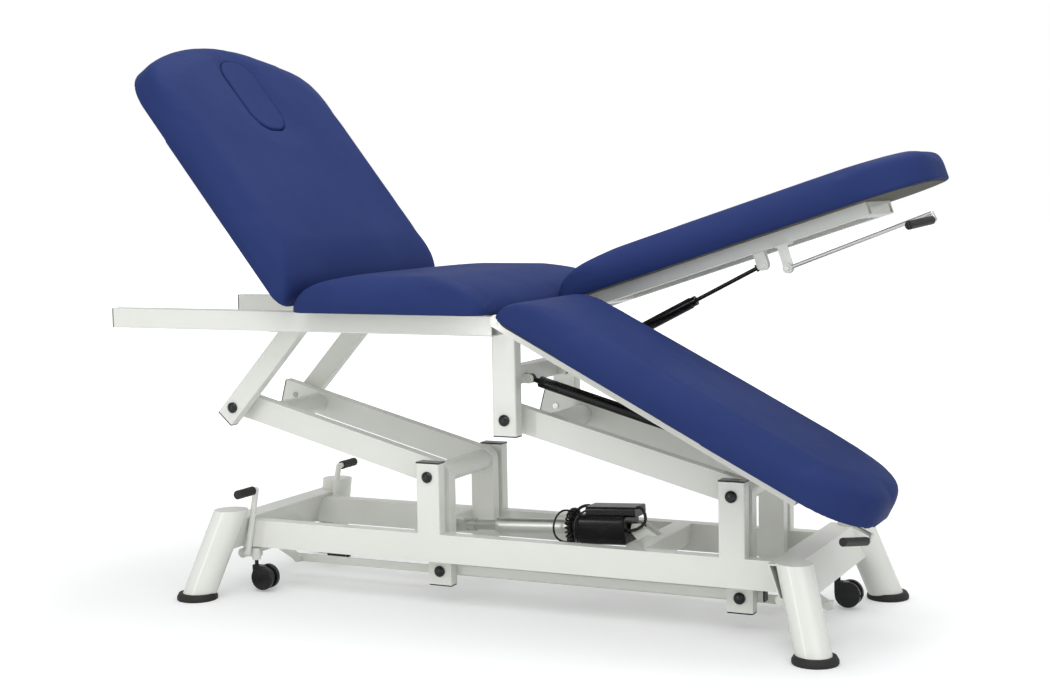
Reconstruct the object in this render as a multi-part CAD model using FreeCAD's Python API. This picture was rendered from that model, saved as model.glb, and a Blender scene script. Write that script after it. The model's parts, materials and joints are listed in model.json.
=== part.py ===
import FreeCAD, Part
import math
import os

# A three-section treatment table with a lifting parallelogram base, at its real size.
# Sizes are millimetres. +X runs from the head end to the foot end, -Y is the near side, +Z is up.

# Mattress: one backrest, one seat, two leg sections side by side
mattress_width = 620.0
seat_left_end = -358.0
seat_right_end = 52.0
backrest_length = 652.0
leg_section_length = 770.0
leg_section_gap = 10.0
pad_thickness = 64.0
pad_edge_radius = 20.0
pad_corner_radius = 32.0
pad_end_curve = 100.0
leg_tip_radius = 115.0
backrest_arch_radius = 620.0
backrest_corner_radius = 100.0
backrest_pad_start = 16.0
leg_pad_start = 6.0
board_thickness = 12.0
board_inset = 9.0
plug_length = 185.0
plug_width = 115.0
plug_end_radius = 48.0
plug_centre = 507.0
plug_clearance = 0.6
plug_crown = 1.5

# Pose of the photograph
backrest_angle = 52.0
front_leg_angle = -27.5
rear_leg_angle = 17.8
arm_angle = 14.75

# Section hinges
backrest_hinge_x = -377.0
leg_hinge_x = 57.0
hinge_pin_radius = 5.0
running_clearance = 0.05

# Top frame
top_rail_height = 40.0
top_rail_depth = 30.0
top_rail_outer = 240.0
top_rail_top = 585.0
top_rail_left_end = -825.0
top_rail_right_end = 42.0
rail_to_board = 2.0
left_crossbar_width = 80.0
left_crossbar_height = 20.0
left_crossbar_x = -430.0
left_crossbar_drop = 4.0
right_crossbar_width = 50.0
hanger_width = 50.0
left_hanger_width = 42.0
hanger_end_reach = 30.0
gas_crossbar_height = 35.0
gas_crossbar_depth = 30.0
gas_crossbar_top = 477.0
gas_crossbar_x = 20.0
tube_wall = 2.5
tube_corner = 3.0

# Lift linkage
pivot_height = 259.0
left_pivot_x = -146.0
pivot_spacing = 620.0
arm_length = 466.0
crank_drop = 195.0
crank_end_reach = 27.0
arm_width = 50.0
arm_depth = 25.0
arm_wall = 3.0
arm_gap = 18.0
arm_end_reach = 30.0
cross_tube_radius = 21.0
upper_cross_tube_back = 60.0
pivot_bolt_radius = 6.0
pivot_clearance = 0.1
link_bolt_radius = 5.0
link_height = 20.0
link_depth = 21.0
link_gap = 1.0
link_overhang = 36.0
bolt_cap_radius = 11.0
bolt_cap_height = 8.0

# Base
base_outer = 154.0
base_depth = 27.0
base_rail_bottom = 92.0
base_rail_height = 55.0
post_width = 50.0
post_top = 285.0
post_cap_thickness = 3.0
left_end_bar_x = -586.0
right_end_bar_x = 585.0
end_bar_width = 50.0
end_bar_rise = 7.0
left_leg_x = -571.0
right_leg_x = 606.0
left_leg_rise = 30.0
right_leg_rise = 13.0
leg_radius = 32.0
leg_top_y = 206.0
leg_splay = 52.0
leg_wall = 2.5
foot_radius = 41.0
foot_height = 14.0
foot_floor = 5.0
crossbeam_x = 275.0
crossbeam_size = 40.0

# Actuator
actuator_pin_height = 138.0
actuator_pin_offset = -12.0
actuator_rear_x = 234.0
actuator_rear_z = 157.7
actuator_rod_radius = 10.0
actuator_tube_radius = 15.0
actuator_tube_reach = 303.0
actuator_motor_near = 14.0
actuator_motor_length = 98.0
actuator_lid_length = 104.0
actuator_motor_width = 84.0
actuator_motor_height = 58.0
actuator_lug_play = 3.2
cable_radius = 3.0

# Gas springs
spring_plane = 78.0
spring_base_x = 45.0
spring_base_z = 451.0
spring_top_along = 414.0
spring_top_drop = 38.0
spring_cylinder_radius = 11.0
spring_rod_radius = 4.0
spring_eye_radius = 9.0
spring_eye_width = 12.0
spring_cylinder_end = 318.0
spring_rod_length = 330.0
back_spring_base_x = -484.0
back_spring_base_z = 541.0
back_spring_along = 330.0
back_spring_cylinder_end = 186.0
back_spring_rod_length = 176.0

# Section frames
frame_tube = 25.0
leg_frame_length = 640.0
leg_frame_width = 190.0
backrest_frame_length = 560.0
lug_thickness = 4.0
lug_play = 1.0
release_along = 466.0
release_drop = 60.0
release_plane = 50.0
release_rod_radius = 4.0
release_tip_along = 752.0
release_tip_drop = 46.0
release_grip_turn = 18.0
release_grip_length = 80.0
grip_radius = 8.0

# Castors and their pedal axles
castor_axle_left_x = -578.0
castor_axle_right_x = 565.0
castor_axle_z = 78.0
castor_axle_radius = 10.0
castor_plane = 146.0
stem_offset = 24.0
castor_trail = 21.0
castor_wheel_radius = 25.0
castor_floor_gap = 4.0
castor_wheel_width = 10.0
castor_body_width = 11.0
stem_radius = 4.0
socket_radius = 9.0
pedal_radius = 6.0
pedal_offset = 14.0
pedal_lean = 24.0
pedal_rise = 134.0
pedal_plane_gap = 2.0
pedal_grip_length = 50.0
sync_bar_y = -30.0
sync_pin_x = 55.0
sync_pin_drop = 30.0
sync_bar_height = 16.0
sync_bar_depth = 6.0

# Worked out from the sizes above
board_plane = top_rail_top + rail_to_board
hinge_height = board_plane - frame_tube / 2
hinge_to_board = frame_tube / 2
right_pivot_x = left_pivot_x + pivot_spacing
arm_dx = -arm_length * math.cos(math.radians(arm_angle))
arm_dz = arm_length * math.sin(math.radians(arm_angle))
upper_pivot_z = pivot_height + arm_dz
arm_outer = base_outer - base_depth - arm_gap
arm_inner = arm_outer - arm_depth
link_outer = arm_inner - link_gap
base_rail_top = base_rail_bottom + base_rail_height
base_inner = base_outer - base_depth
end_bar_top = base_rail_top + end_bar_rise
leg_lean = leg_splay / base_rail_top
top_rail_bottom = top_rail_top - top_rail_height
top_rail_inner = top_rail_outer - top_rail_depth
left_crossbar_bottom = top_rail_bottom - left_crossbar_drop
leg_middle = (mattress_width + leg_section_gap) / 4
wheel_centre_z = castor_wheel_radius + castor_floor_gap
actuator_pin_x = left_pivot_x + actuator_pin_offset


shapes = {}


def vec(x, y, z):
    return FreeCAD.Vector(x, y, z)


def rounded_rectangle(width, height, radius):
    """Face in the XY plane, centred, with quarter-round corners."""
    a = width / 2
    b = height / 2
    if radius <= 0:
        corners = [vec(-a, -b, 0), vec(a, -b, 0), vec(a, b, 0), vec(-a, b, 0), vec(-a, -b, 0)]
        return Part.Face(Part.makePolygon(corners))
    edges = []
    k = radius * (1 - math.sqrt(0.5))
    for turn in range(4):
        p, q = (a, b) if turn % 2 == 0 else (b, a)
        line = Part.makeLine(vec(p, -q + radius, 0), vec(p, q - radius, 0))
        arc = Part.Arc(vec(p, q - radius, 0), vec(p - k, q - k, 0), vec(p - radius, q, 0)).toShape()
        for edge in (line, arc):
            edge.rotate(vec(0, 0, 0), vec(0, 0, 1), 90 * turn)
            edges.append(edge)
    return Part.Face(Part.Wire(edges))


def placed(shape, origin, side, along):
    """Turn local X to side and local Z to along, then move to origin."""
    z = FreeCAD.Vector(along).normalize()
    x = FreeCAD.Vector(side)
    x = (x - z * x.dot(z)).normalize()
    y = z.cross(x)
    matrix = FreeCAD.Matrix(x.x, y.x, z.x, origin.x, x.y, y.y, z.y, origin.y, x.z, y.z, z.z, origin.z, 0, 0, 0, 1)
    result = shape.copy()
    result.Placement = FreeCAD.Placement(matrix)
    return result


def bar(start, end, side, width, height, radius=0.0):
    """Straight bar; width is measured along side."""
    along = end - start
    solid = rounded_rectangle(width, height, radius).extrude(vec(0, 0, along.Length))
    return placed(solid, start, side, along)


def box_tube(start, end, side, width, height, wall=tube_wall, radius=tube_corner):
    """Rectangular tube, open at both ends."""
    outer = bar(start, end, side, width, height, radius)
    reach = (end - start).normalize() * 1.0
    inner = bar(start - reach, end + reach, side, width - 2 * wall, height - 2 * wall)
    return outer.cut(inner)


def round_bar(start, end, radius):
    along = end - start
    return Part.makeCylinder(radius, along.Length, start, along)


def box(x0, x1, y0, y1, z0, z1):
    return Part.makeBox(x1 - x0, y1 - y0, z1 - z0, vec(x0, y0, z0))


def plate_xz(points, y0, y1):
    """Flat plate with an outline in the XZ plane."""
    outline = [vec(x, y0, z) for x, z in points]
    return Part.Face(Part.makePolygon(outline + outline[:1])).extrude(vec(0, y1 - y0, 0))


def mirrored(shape):
    return shape.mirror(vec(0, 0, 0), vec(0, 1, 0))


def both_sides(shape):
    return [shape, mirrored(shape)]


def across(x, z, y0, y1, radius):
    """Round bar that runs along Y."""
    return round_bar(vec(x, y0, z), vec(x, y1, z), radius)


def save(name, *pieces):
    flat = []
    for piece in pieces:
        flat.extend(piece if isinstance(piece, list) else [piece])
    solids = [solid for piece in flat for solid in piece.Solids]
    shapes[name] = solids[0] if len(solids) == 1 else Part.makeCompound(solids)


def export_all():
    """Centre the whole object on the origin along X and write one file per node."""
    os.makedirs("parts", exist_ok=True)
    shift = vec(middle_shift(), 0, 0)
    for name, shape in shapes.items():
        shape.translate(shift)
        shape.exportStep("parts/" + name + ".step")


def middle_shift():
    """Distance along X that puts the middle of the object's box on the origin."""
    boxes = [shape.optimalBoundingBox(False) for shape in shapes.values()]
    return -(min(b.XMin for b in boxes) + max(b.XMax for b in boxes)) / 2


def turned(profile, origin, along, dome=0.0):
    """Solid of revolution from (radius, distance) pairs; dome rounds the first end over its first radius."""
    points = [vec(radius, 0, distance) for radius, distance in profile]
    edges = []
    if dome > 0:
        radius = points[0].x
        ball = (radius ** 2 + dome ** 2) / (2 * dome)
        half = math.asin(radius / ball) / 2
        apex = points[0].z + dome
        middle = vec(ball * math.sin(half), 0, apex - ball * (1 - math.cos(half)))
        edges.append(Part.Arc(vec(0, 0, apex), middle, points[0]).toShape())
        points.append(vec(0, 0, points[-1].z))
        points.append(vec(0, 0, apex))
    else:
        points = [vec(0, 0, points[0].z)] + points + [vec(0, 0, points[-1].z), vec(0, 0, points[0].z)]
    edges += [Part.makeLine(a, b) for a, b in zip(points, points[1:])]
    solid = Part.Face(Part.Wire(edges)).revolve(vec(0, 0, 0), vec(0, 0, 1), 360)
    side = vec(1, 0, 0) if abs(along.y) > 0.9 else vec(0, 1, 0)
    return placed(solid, origin, side, along)


def capped_bolt(x, y, z, shank):
    """Bolt along Y with a domed black cap on its near end; shank is (radius, depth) pairs going inwards."""
    shoulder = bolt_cap_height * 0.4
    profile = [(bolt_cap_radius, shoulder), (bolt_cap_radius, 0.0)] + [(r, -d) for r, d in shank]
    return turned(profile, vec(x, y, z), vec(0, -1, 0), bolt_cap_height - shoulder)


# Base

def end_bar(centre_x, outward):
    """Hollow end bar of the base with the lean of the legs, coped to their tubes."""
    shift = outward * leg_lean * base_rail_height
    half = end_bar_width / 2
    reach = leg_top_y

    def section(inset, y0, y1):
        low = base_rail_bottom + inset
        high = end_bar_top - inset
        low_shift = shift * (base_rail_top - low) / base_rail_height
        high_shift = shift * (base_rail_top - high) / base_rail_height
        points = [
            (centre_x - half + inset + high_shift, high),
            (centre_x + half - inset + high_shift, high),
            (centre_x + half - inset + low_shift, low),
            (centre_x - half + inset + low_shift, low),
        ]
        return plate_xz(points, y0, y1)

    solid = section(0.0, -reach, reach).cut(section(leg_wall, -reach - 1, reach + 1))
    leg_x = left_leg_x if outward < 0 else right_leg_x
    for side in (-1, 1):
        solid = solid.cut(leg_cylinder(leg_x, outward, side, leg_radius + running_clearance * 4))
    piece = max(solid.Solids, key=lambda s: s.Volume)
    return piece


def leg_top(outward):
    return base_rail_top + (left_leg_rise if outward < 0 else right_leg_rise)


def leg_cylinder(leg_x, outward, side, radius):
    """Long cylinder on a leg's leaning axis."""
    top = vec(leg_x, side * leg_top_y, leg_top(outward))
    foot = vec(leg_x + outward * leg_splay, side * (leg_top_y + leg_splay), 0)
    step = (top - foot) * 0.5
    return round_bar(foot - step, top + step, radius)


def leg(leg_x, outward, side):
    """Splayed round leg, cut level at its top and closed there."""
    span = 300.0
    top = leg_top(outward)
    centre = vec(leg_x, side * leg_top_y, 0)
    slab = box(centre.x - span, centre.x + span, centre.y - span, centre.y + span, foot_floor, top)
    room = box(centre.x - span, centre.x + span, centre.y - span, centre.y + span,
               foot_floor - 1, top - leg_wall)
    outer = leg_cylinder(leg_x, outward, side, leg_radius).common(slab)
    inner = leg_cylinder(leg_x, outward, side, leg_radius - leg_wall).common(room)
    return outer.cut(inner)


def foot_ring(leg_x, outward, side):
    """Rubber cup under a leg, wider at the floor."""
    centre = vec(leg_x + outward * leg_splay, side * (leg_top_y + leg_splay), 0)
    waist = foot_radius - 4
    outline = [(0, 0), (foot_radius - 1, 0), (foot_radius, 2), (foot_radius, foot_height / 2),
               (waist, foot_height), (0, foot_height)]
    points = [vec(x, 0, z) for x, z in outline]
    cup = Part.Face(Part.makePolygon(points + points[:1])).revolve(vec(0, 0, 0), vec(0, 0, 1), 360)
    cup.translate(centre)
    slab = box(centre.x - 90, centre.x + 90, centre.y - 90, centre.y + 90, foot_floor, foot_height + 1)
    return cup.cut(leg_cylinder(leg_x, outward, side, leg_radius + running_clearance).common(slab))


def base_rail():
    left = left_end_bar_x + end_bar_width / 2
    right = right_end_bar_x - end_bar_width / 2
    shift = leg_lean * base_rail_height
    outline = [(left, base_rail_top), (right, base_rail_top), (right + shift, base_rail_bottom),
               (left - shift, base_rail_bottom)]
    outer = plate_xz(outline, -base_outer, -base_inner)
    room = box(left - 80, right + 80, -base_outer + tube_wall, -base_inner - tube_wall,
               base_rail_bottom + tube_wall, base_rail_top - tube_wall)
    return outer.cut(room)


def bearing_ears(axle_x, bar_x, outward):
    """Two plates under an end bar that carry the castor axle."""
    ears = []
    low_shift = outward * leg_lean * base_rail_height
    left = min(axle_x - 15, bar_x + low_shift - 15)
    right = max(axle_x + 15, bar_x + low_shift + 15)
    for side in (-1, 1):
        y = side * 112.0
        plate = plate_xz([(left, base_rail_bottom), (right, base_rail_bottom),
                          (axle_x + 14, castor_axle_z - 14), (axle_x - 14, castor_axle_z - 14)], y - 3, y + 3)
        bore = across(axle_x, castor_axle_z, y - 4, y + 4, castor_axle_radius + running_clearance)
        ears.append(plate.cut(bore))
    return ears


def post(x):
    start = vec(x, -(base_outer + base_inner) / 2, base_rail_top)
    end = vec(x, -(base_outer + base_inner) / 2, post_top)
    tube = box_tube(start, end, vec(1, 0, 0), post_width, base_depth)
    return tube.cut(across(x, pivot_height, -base_outer - 1, -base_inner + 1, pivot_bolt_radius))


def post_cap(x):
    y0 = -base_outer
    y1 = -base_inner
    lid = box(x - post_width / 2, x + post_width / 2, y0, y1, post_top, post_top + post_cap_thickness)
    plug = box(x - post_width / 2 + tube_wall, x + post_width / 2 - tube_wall, y0 + tube_wall, y1 - tube_wall,
               post_top - 8, post_top)
    return lid.fuse(plug).removeSplitter()


def pivot_bolt(x, z):
    """Bolt with its domed cap and the spacer between the outer tube and the lift arm."""
    spacer = pivot_bolt_radius * 2
    near = base_depth
    far = base_depth + arm_gap - 0.3
    deep = base_outer - arm_inner + 2
    shank = [(pivot_bolt_radius, 0.0), (pivot_bolt_radius, near), (spacer, near), (spacer, far),
             (pivot_bolt_radius, far), (pivot_bolt_radius, deep)]
    return capped_bolt(x, -base_outer, z, shank)


def crossbeam():
    """Beam between the base rails with the two lugs of the actuator's rear pin."""
    half = crossbeam_size / 2
    top = base_rail_top
    beam = box_tube(vec(crossbeam_x, -base_inner, top - half), vec(crossbeam_x, base_inner, top - half),
                    vec(1, 0, 0), crossbeam_size, crossbeam_size)
    face = crossbeam_x - half
    pieces = [beam]
    for side in (-1, 1):
        y = side * 13.0
        outline = [(face + 24, top), (face, top), (face, top - 26), (actuator_rear_x - 8, actuator_rear_z - 10),
                   (actuator_rear_x - 11, actuator_rear_z), (actuator_rear_x - 8, actuator_rear_z + 10),
                   (actuator_rear_x + 8, actuator_rear_z + 11)]
        pieces.append(plate_xz(outline, y - 2.5, y + 2.5))
    pin = across(actuator_rear_x, actuator_rear_z, -19, 19, hinge_pin_radius)
    return pieces[0].fuse(pieces[1:] + [pin])


def make_base():
    save("base_rail_front", base_rail())
    save("base_rail_rear", mirrored(base_rail()))
    save("base_crossbar_left", end_bar(left_end_bar_x, -1), bearing_ears(castor_axle_left_x, left_end_bar_x, -1))
    save("base_crossbar_right", end_bar(right_end_bar_x, 1), bearing_ears(castor_axle_right_x, right_end_bar_x, 1))
    save("base_crossbeam", crossbeam())
    save("lift_posts", both_sides(post(left_pivot_x)), both_sides(post(right_pivot_x)))
    save("legs", [leg(x, out, side) for x, out in ((left_leg_x, -1), (right_leg_x, 1)) for side in (-1, 1)])
    rings = [foot_ring(x, out, side) for x, out in ((left_leg_x, -1), (right_leg_x, 1)) for side in (-1, 1)]
    save("foot_rings", rings)
    hardware = []
    for x in (left_pivot_x, right_pivot_x):
        hardware += both_sides(post_cap(x)) + both_sides(pivot_bolt(x, pivot_height))
    save("post_caps_and_bolts", hardware)


# Lift linkage

def arm_outline(pivot_x, inset, reach):
    """Arm tube, crank tube and round elbow, shrunk by inset on every wall."""
    y = -(arm_outer + arm_inner) / 2
    slope = vec(arm_dx, 0, arm_dz) * (1 / arm_length)
    pivot = vec(pivot_x, y, pivot_height)
    width = arm_width - 2 * inset
    depth = arm_depth - 2 * inset
    arm = bar(pivot, pivot + slope * (arm_length + arm_end_reach + reach), vec(0, 1, 0), depth, width)
    foot = vec(pivot_x, y, pivot_height - crank_drop - crank_end_reach - reach)
    crank = bar(pivot, foot, vec(0, 1, 0), depth, width)
    elbow = across(pivot_x, pivot_height, y - depth / 2, y + depth / 2, width / 2)
    return arm.fuse([crank, elbow])


def lift_arm(pivot_x):
    """L-shaped lift arm on the near side, with its three bolt holes."""
    solid = arm_outline(pivot_x, 0.0, 0.0).cut(arm_outline(pivot_x, arm_wall, 1.0))
    y0 = -arm_outer - 1
    y1 = -arm_inner + 1
    for x, z in ((pivot_x, pivot_height), (pivot_x + arm_dx, upper_pivot_z)):
        solid = solid.cut(across(x, z, y0, y1, pivot_bolt_radius + pivot_clearance))
    solid = solid.cut(across(pivot_x, pivot_height - crank_drop, y0, y1, link_bolt_radius + pivot_clearance))
    return solid.removeSplitter()


def arm_cap(pivot_x):
    """Plastic plug in the upper end of an arm, and the one under its crank."""
    y = -(arm_outer + arm_inner) / 2
    slope = vec(arm_dx, 0, arm_dz) * (1 / arm_length)
    end = vec(pivot_x, y, pivot_height) + slope * (arm_length + arm_end_reach)
    upper = end_plug(end, slope * -1.0, vec(0, 1, 0), arm_depth, arm_width)
    foot = vec(pivot_x, y, pivot_height - crank_drop - crank_end_reach)
    lower = end_plug(foot, vec(0, 0, 1), vec(0, 1, 0), arm_depth, arm_width)
    return Part.makeCompound([upper, lower])


def cross_tube(x, z):
    outer = across(x, z, -arm_inner, arm_inner, cross_tube_radius)
    return outer.cut(across(x, z, -arm_inner - 1, arm_inner + 1, cross_tube_radius - arm_wall))


def arm_tubes(pivot_x):
    slope_x = arm_dx / arm_length
    slope_z = arm_dz / arm_length
    reach = arm_length - upper_cross_tube_back
    return [cross_tube(pivot_x, pivot_height), cross_tube(pivot_x + slope_x * reach, pivot_height + slope_z * reach)]


def actuator_yoke():
    """Bar on the head side of the left cranks with the lug that the rod pushes."""
    size = 30.0
    face = left_pivot_x - arm_width / 2
    beam = bar(vec(face - size / 2, -arm_outer, actuator_pin_height), vec(face - size / 2, arm_outer, actuator_pin_height),
               vec(1, 0, 0), size, size, tube_corner)
    tip = actuator_pin_x
    lug = box(face - 1, tip, -4, 4, actuator_pin_height - 14, actuator_pin_height + 14)
    lug = lug.fuse(across(tip, actuator_pin_height, -4, 4, 14.0))
    hole = across(tip, actuator_pin_height, -5, 5, hinge_pin_radius + actuator_lug_play)
    return beam.fuse(lug.cut(hole)).removeSplitter()


def crank_link():
    z = pivot_height - crank_drop
    y = -(link_outer - link_depth / 2)
    start = vec(left_pivot_x - link_overhang, y, z)
    end = vec(right_pivot_x + link_overhang, y, z)
    tube = box_tube(start, end, vec(0, 1, 0), link_depth, link_height)
    for x in (left_pivot_x, right_pivot_x):
        tube = tube.cut(across(x, z, y - link_depth, y + link_depth, link_bolt_radius))
    return tube


def link_hardware():
    z = pivot_height - crank_drop
    y = -(link_outer - link_depth / 2)
    pieces = []
    for x, outward in ((left_pivot_x, -1), (right_pivot_x, 1)):
        near = arm_outer + 0.3
        deep = near + y + link_depth / 2
        pieces.append(capped_bolt(x, -near, z, [(link_bolt_radius, 0.0), (link_bolt_radius, deep)]))
        end = x + outward * link_overhang
        lid = bar(vec(end, y, z), vec(end + outward * 3, y, z), vec(0, 1, 0), link_depth, link_height, tube_corner)
        inner = bar(vec(end - outward * 10, y, z), vec(end, y, z), vec(0, 1, 0),
                    link_depth - 2 * tube_wall, link_height - 2 * tube_wall)
        pieces.append(lid.fuse(inner))
    return pieces + [mirrored(piece) for piece in pieces]


def make_lift():
    save("lift_arms_left", both_sides(lift_arm(left_pivot_x)))
    save("arm_tubes_left", arm_tubes(left_pivot_x), actuator_yoke())
    save("arm_caps_left", both_sides(arm_cap(left_pivot_x)))
    save("lift_arms_right", both_sides(lift_arm(right_pivot_x)))
    save("arm_caps_right", both_sides(arm_cap(right_pivot_x)))
    save("arm_tubes_right", arm_tubes(right_pivot_x))
    save("crank_links", both_sides(crank_link()))
    save("crank_link_hardware", link_hardware())


# Actuator

def actuator_frame():
    """Rear pin, and the unit vector from it to the rod's fork."""
    rear = vec(actuator_rear_x, 0, actuator_rear_z)
    fork = vec(actuator_pin_x, 0, actuator_pin_height)
    return rear, (fork - rear) * (1 / (fork - rear).Length), (fork - rear).Length


def make_actuator():
    rear, along, length = actuator_frame()
    side = vec(0, 1, 0)
    near = rear + along * actuator_motor_near
    far = near + along * actuator_motor_length
    body = bar(near, far, side, actuator_motor_width, actuator_motor_height, 14.0)
    end_edges = []
    for edge in body.Edges:
        heights = [vertex.Point.dot(along) for vertex in edge.Vertexes]
        if max(heights) - min(heights) < 0.1:
            end_edges.append(edge)
    body = body.makeFillet(5.0, end_edges)
    up = vec(0, 0, 1)
    lid_start = rear + along * (actuator_motor_near - 18) + up * (actuator_motor_height / 2 + 5)
    lid = bar(lid_start, lid_start + along * actuator_lid_length, side, 56, 20, 6.0)
    eye = across(rear.x, rear.z, -9.5, 9.5, 12.0)
    neck = bar(rear + along * 4, near + along * 6, side, 18, 20, 2.0)
    bore = across(rear.x, rear.z, -11, 11, hinge_pin_radius + running_clearance)
    channel = round_bar(near, far + along * 1, actuator_rod_radius + running_clearance)
    motor = body.fuse([lid, eye, neck]).cut(bore)
    tail = round_bar(near + along * 30, far + along * 1, actuator_rod_radius + 1)
    motor = motor.cut(tail)
    save("actuator_motor", motor)
    tube_end = rear + along * actuator_tube_reach
    tube = round_bar(far, tube_end, actuator_tube_radius)
    collar = round_bar(tube_end - along * 6, tube_end, actuator_tube_radius + 1)
    save("actuator_tube", tube.fuse(collar).removeSplitter().cut(
        round_bar(far - along * 1, tube_end + along * 1, actuator_rod_radius + running_clearance)))
    fork_pin = rear + along * length
    rod = round_bar(rear + along * (length - 250), fork_pin - along * 22, actuator_rod_radius)
    socket = round_bar(fork_pin - along * 40, fork_pin - along * 18, 13.0)
    pieces = [socket]
    for way in (-1, 1):
        middle = fork_pin + vec(0, way * 8.5, 0)
        cheek = bar(middle - along * 24, middle, side, 7, 22)
        pieces.append(cheek.fuse(across(middle.x, middle.z, middle.y - 3.5, middle.y + 3.5, 11.0)))
    pin = across(fork_pin.x, fork_pin.z, -14, 14, hinge_pin_radius)
    save("actuator_rod", rod.fuse(pieces + [pin]).removeSplitter())
    cable = actuator_cable(rear, along, far)
    runs = [max(run.cut(motor).Solids, key=lambda piece: piece.Volume) for run in cable[-2:]]
    save("actuator_cable", cable[:-2] + runs)


def actuator_cable(rear, along, far):
    """Coiled cable round the tube and the two runs that join it to the motor."""
    coils = []
    for turn in range(4):
        tilt = vec(0, 0.06 * (-1) ** turn, 0.05 * turn - 0.08)
        centre = far + along * (9 + 7.0 * turn)
        coils.append(Part.makeTorus(actuator_tube_radius + cable_radius * 1.05, cable_radius, centre, along + tilt))
    top = actuator_motor_height / 2 + 8
    front_run = [far - along * 14 + vec(0, 8, top), far + along * 8 + vec(0, 9, top + 2),
                 far + along * 19 + vec(0, 5, 31), far + along * 20 + vec(0, 0, 17.5)]
    back = rear + along * (actuator_motor_near - 10)
    back_run = [back + vec(0, -12, top), back - along * 16 + vec(0, -16, top + 4),
                back - along * 26 + vec(0, -21, 18), back - along * 10 + vec(0, -24, 2),
                back + along * 14 + vec(0, -24, 0)]
    return coils + [cable_run(front_run), cable_run(back_run)]


def cable_run(points):
    """Round cable along a smooth curve through the points."""
    spine = Part.Wire(curve_through(points))
    start = spine.Edges[0].tangentAt(spine.Edges[0].FirstParameter)
    ring = Part.Wire(Part.makeCircle(cable_radius, points[0], start))
    return spine.makePipeShell([ring], True, True)


# Top frame

def top_rail():
    y = -(top_rail_outer + top_rail_inner) / 2
    z = top_rail_top - top_rail_height / 2
    tube = box_tube(vec(top_rail_left_end, y, z), vec(top_rail_right_end, y, z), vec(0, 1, 0),
                    top_rail_depth, top_rail_height)
    ear_y = leg_frame_outer_face() - frame_tube - lug_play
    ear = hinge_ear(-ear_y, -ear_y + 6)
    pin = across(leg_hinge_x, hinge_height, -ear_y + 6, -ear_y - frame_tube - 3, hinge_pin_radius)
    stud = across(backrest_hinge_x, hinge_height, -top_rail_outer + 4, -backrest_tube_inner() + 2, hinge_pin_radius)
    strip = box(seat_left_end + 25, seat_right_end - 25, y - 10, y + 10, top_rail_top, board_plane)
    return tube.fuse([ear, pin, strip]).fuse(stud)


def hinge_ear(y0, y1):
    """Plate past the rail ends that carries a leg section's hinge pin."""
    radius = frame_tube / 2 - 2
    plate = box(top_rail_right_end - 20, leg_hinge_x, y0, y1, hinge_height - radius, hinge_height + radius)
    return plate.fuse(across(leg_hinge_x, hinge_height, y0, y1, radius))


def leg_frame_outer_face():
    """Distance from the middle plane to the outer face of a leg section's frame."""
    return leg_middle + leg_frame_width / 2


def leg_frame_inner_face():
    return leg_middle - leg_frame_width / 2


def backrest_tube_outer():
    return top_rail_inner - lug_play * 2


def backrest_tube_inner():
    return backrest_tube_outer() - frame_tube


def top_crossbars():
    z = left_crossbar_bottom + left_crossbar_height / 2
    left = box_tube(vec(left_crossbar_x, -top_rail_inner, z), vec(left_crossbar_x, top_rail_inner, z),
                    vec(1, 0, 0), left_crossbar_width, left_crossbar_height)
    lugs = spring_lugs(back_spring_base_x, back_spring_base_z, 0.0, left_crossbar_x - left_crossbar_width / 2)
    left = left.fuse(lugs)
    x = top_rail_right_end - right_crossbar_width / 2
    z = top_rail_top - top_rail_height / 2
    right = box_tube(vec(x, -top_rail_inner, z), vec(x, top_rail_inner, z), vec(1, 0, 0),
                     right_crossbar_width, top_rail_height)
    for side in (-1, 1):
        inner = leg_frame_inner_face() + frame_tube + lug_play
        ear = hinge_ear(-inner - 6, -inner)
        pin = across(leg_hinge_x, hinge_height, -inner - 6, -inner + frame_tube + 4, hinge_pin_radius)
        piece = ear.fuse(pin)
        right = right.fuse(piece if side < 0 else mirrored(piece))
    return left, right


def spring_lugs(x, z, y, face):
    """Two cheeks and the pin that carry a gas spring's lower eye."""
    pieces = []
    gap = spring_eye_width / 2 + lug_play / 2
    for way in (-1, 1):
        y0 = y + way * gap
        y1 = y0 + way * lug_thickness
        low = min(y0, y1)
        high = max(y0, y1)
        reach = min(face, x)
        span = max(face, x)
        cheek = box(reach, span, low, high, z - spring_eye_radius, z + spring_eye_radius)
        pieces.append(cheek.fuse(across(x, z, low, high, spring_eye_radius)))
    pieces.append(across(x, z, y - gap - lug_thickness - 3, y + gap + lug_thickness + 3, spring_rod_radius))
    return pieces[0].fuse(pieces[1:])


def gas_crossbar():
    z = gas_crossbar_top - gas_crossbar_height / 2
    tube = box_tube(vec(gas_crossbar_x, -base_inner, z), vec(gas_crossbar_x, base_inner, z), vec(1, 0, 0),
                    gas_crossbar_depth, gas_crossbar_height)
    face = gas_crossbar_x + gas_crossbar_depth / 2
    for side in (-1, 1):
        tube = tube.fuse(spring_lugs(spring_base_x, spring_base_z, side * spring_plane, face))
    return tube


def left_hanger():
    """Slanted hanger from the flat crossbar down to the upper head-side pivot."""
    pivot = vec(left_pivot_x + arm_dx, -(base_outer + base_inner) / 2, upper_pivot_z)
    target = vec(left_crossbar_x - left_crossbar_width / 4, pivot.y, left_crossbar_bottom)
    along = (target - pivot) * (1 / (target - pivot).Length)
    tube = box_tube(pivot - along * hanger_end_reach, target + along * 60, vec(0, 1, 0), base_depth,
                    left_hanger_width)
    above = box(target.x - 300, target.x + 300, -base_outer - 5, -base_inner + 5, left_crossbar_bottom,
                left_crossbar_bottom + 200)
    tube = tube.cut(above)
    hole = across(pivot.x, pivot.z, -base_outer - 1, -base_inner + 1, pivot_bolt_radius)
    return tube.cut(hole), pivot, along


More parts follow.
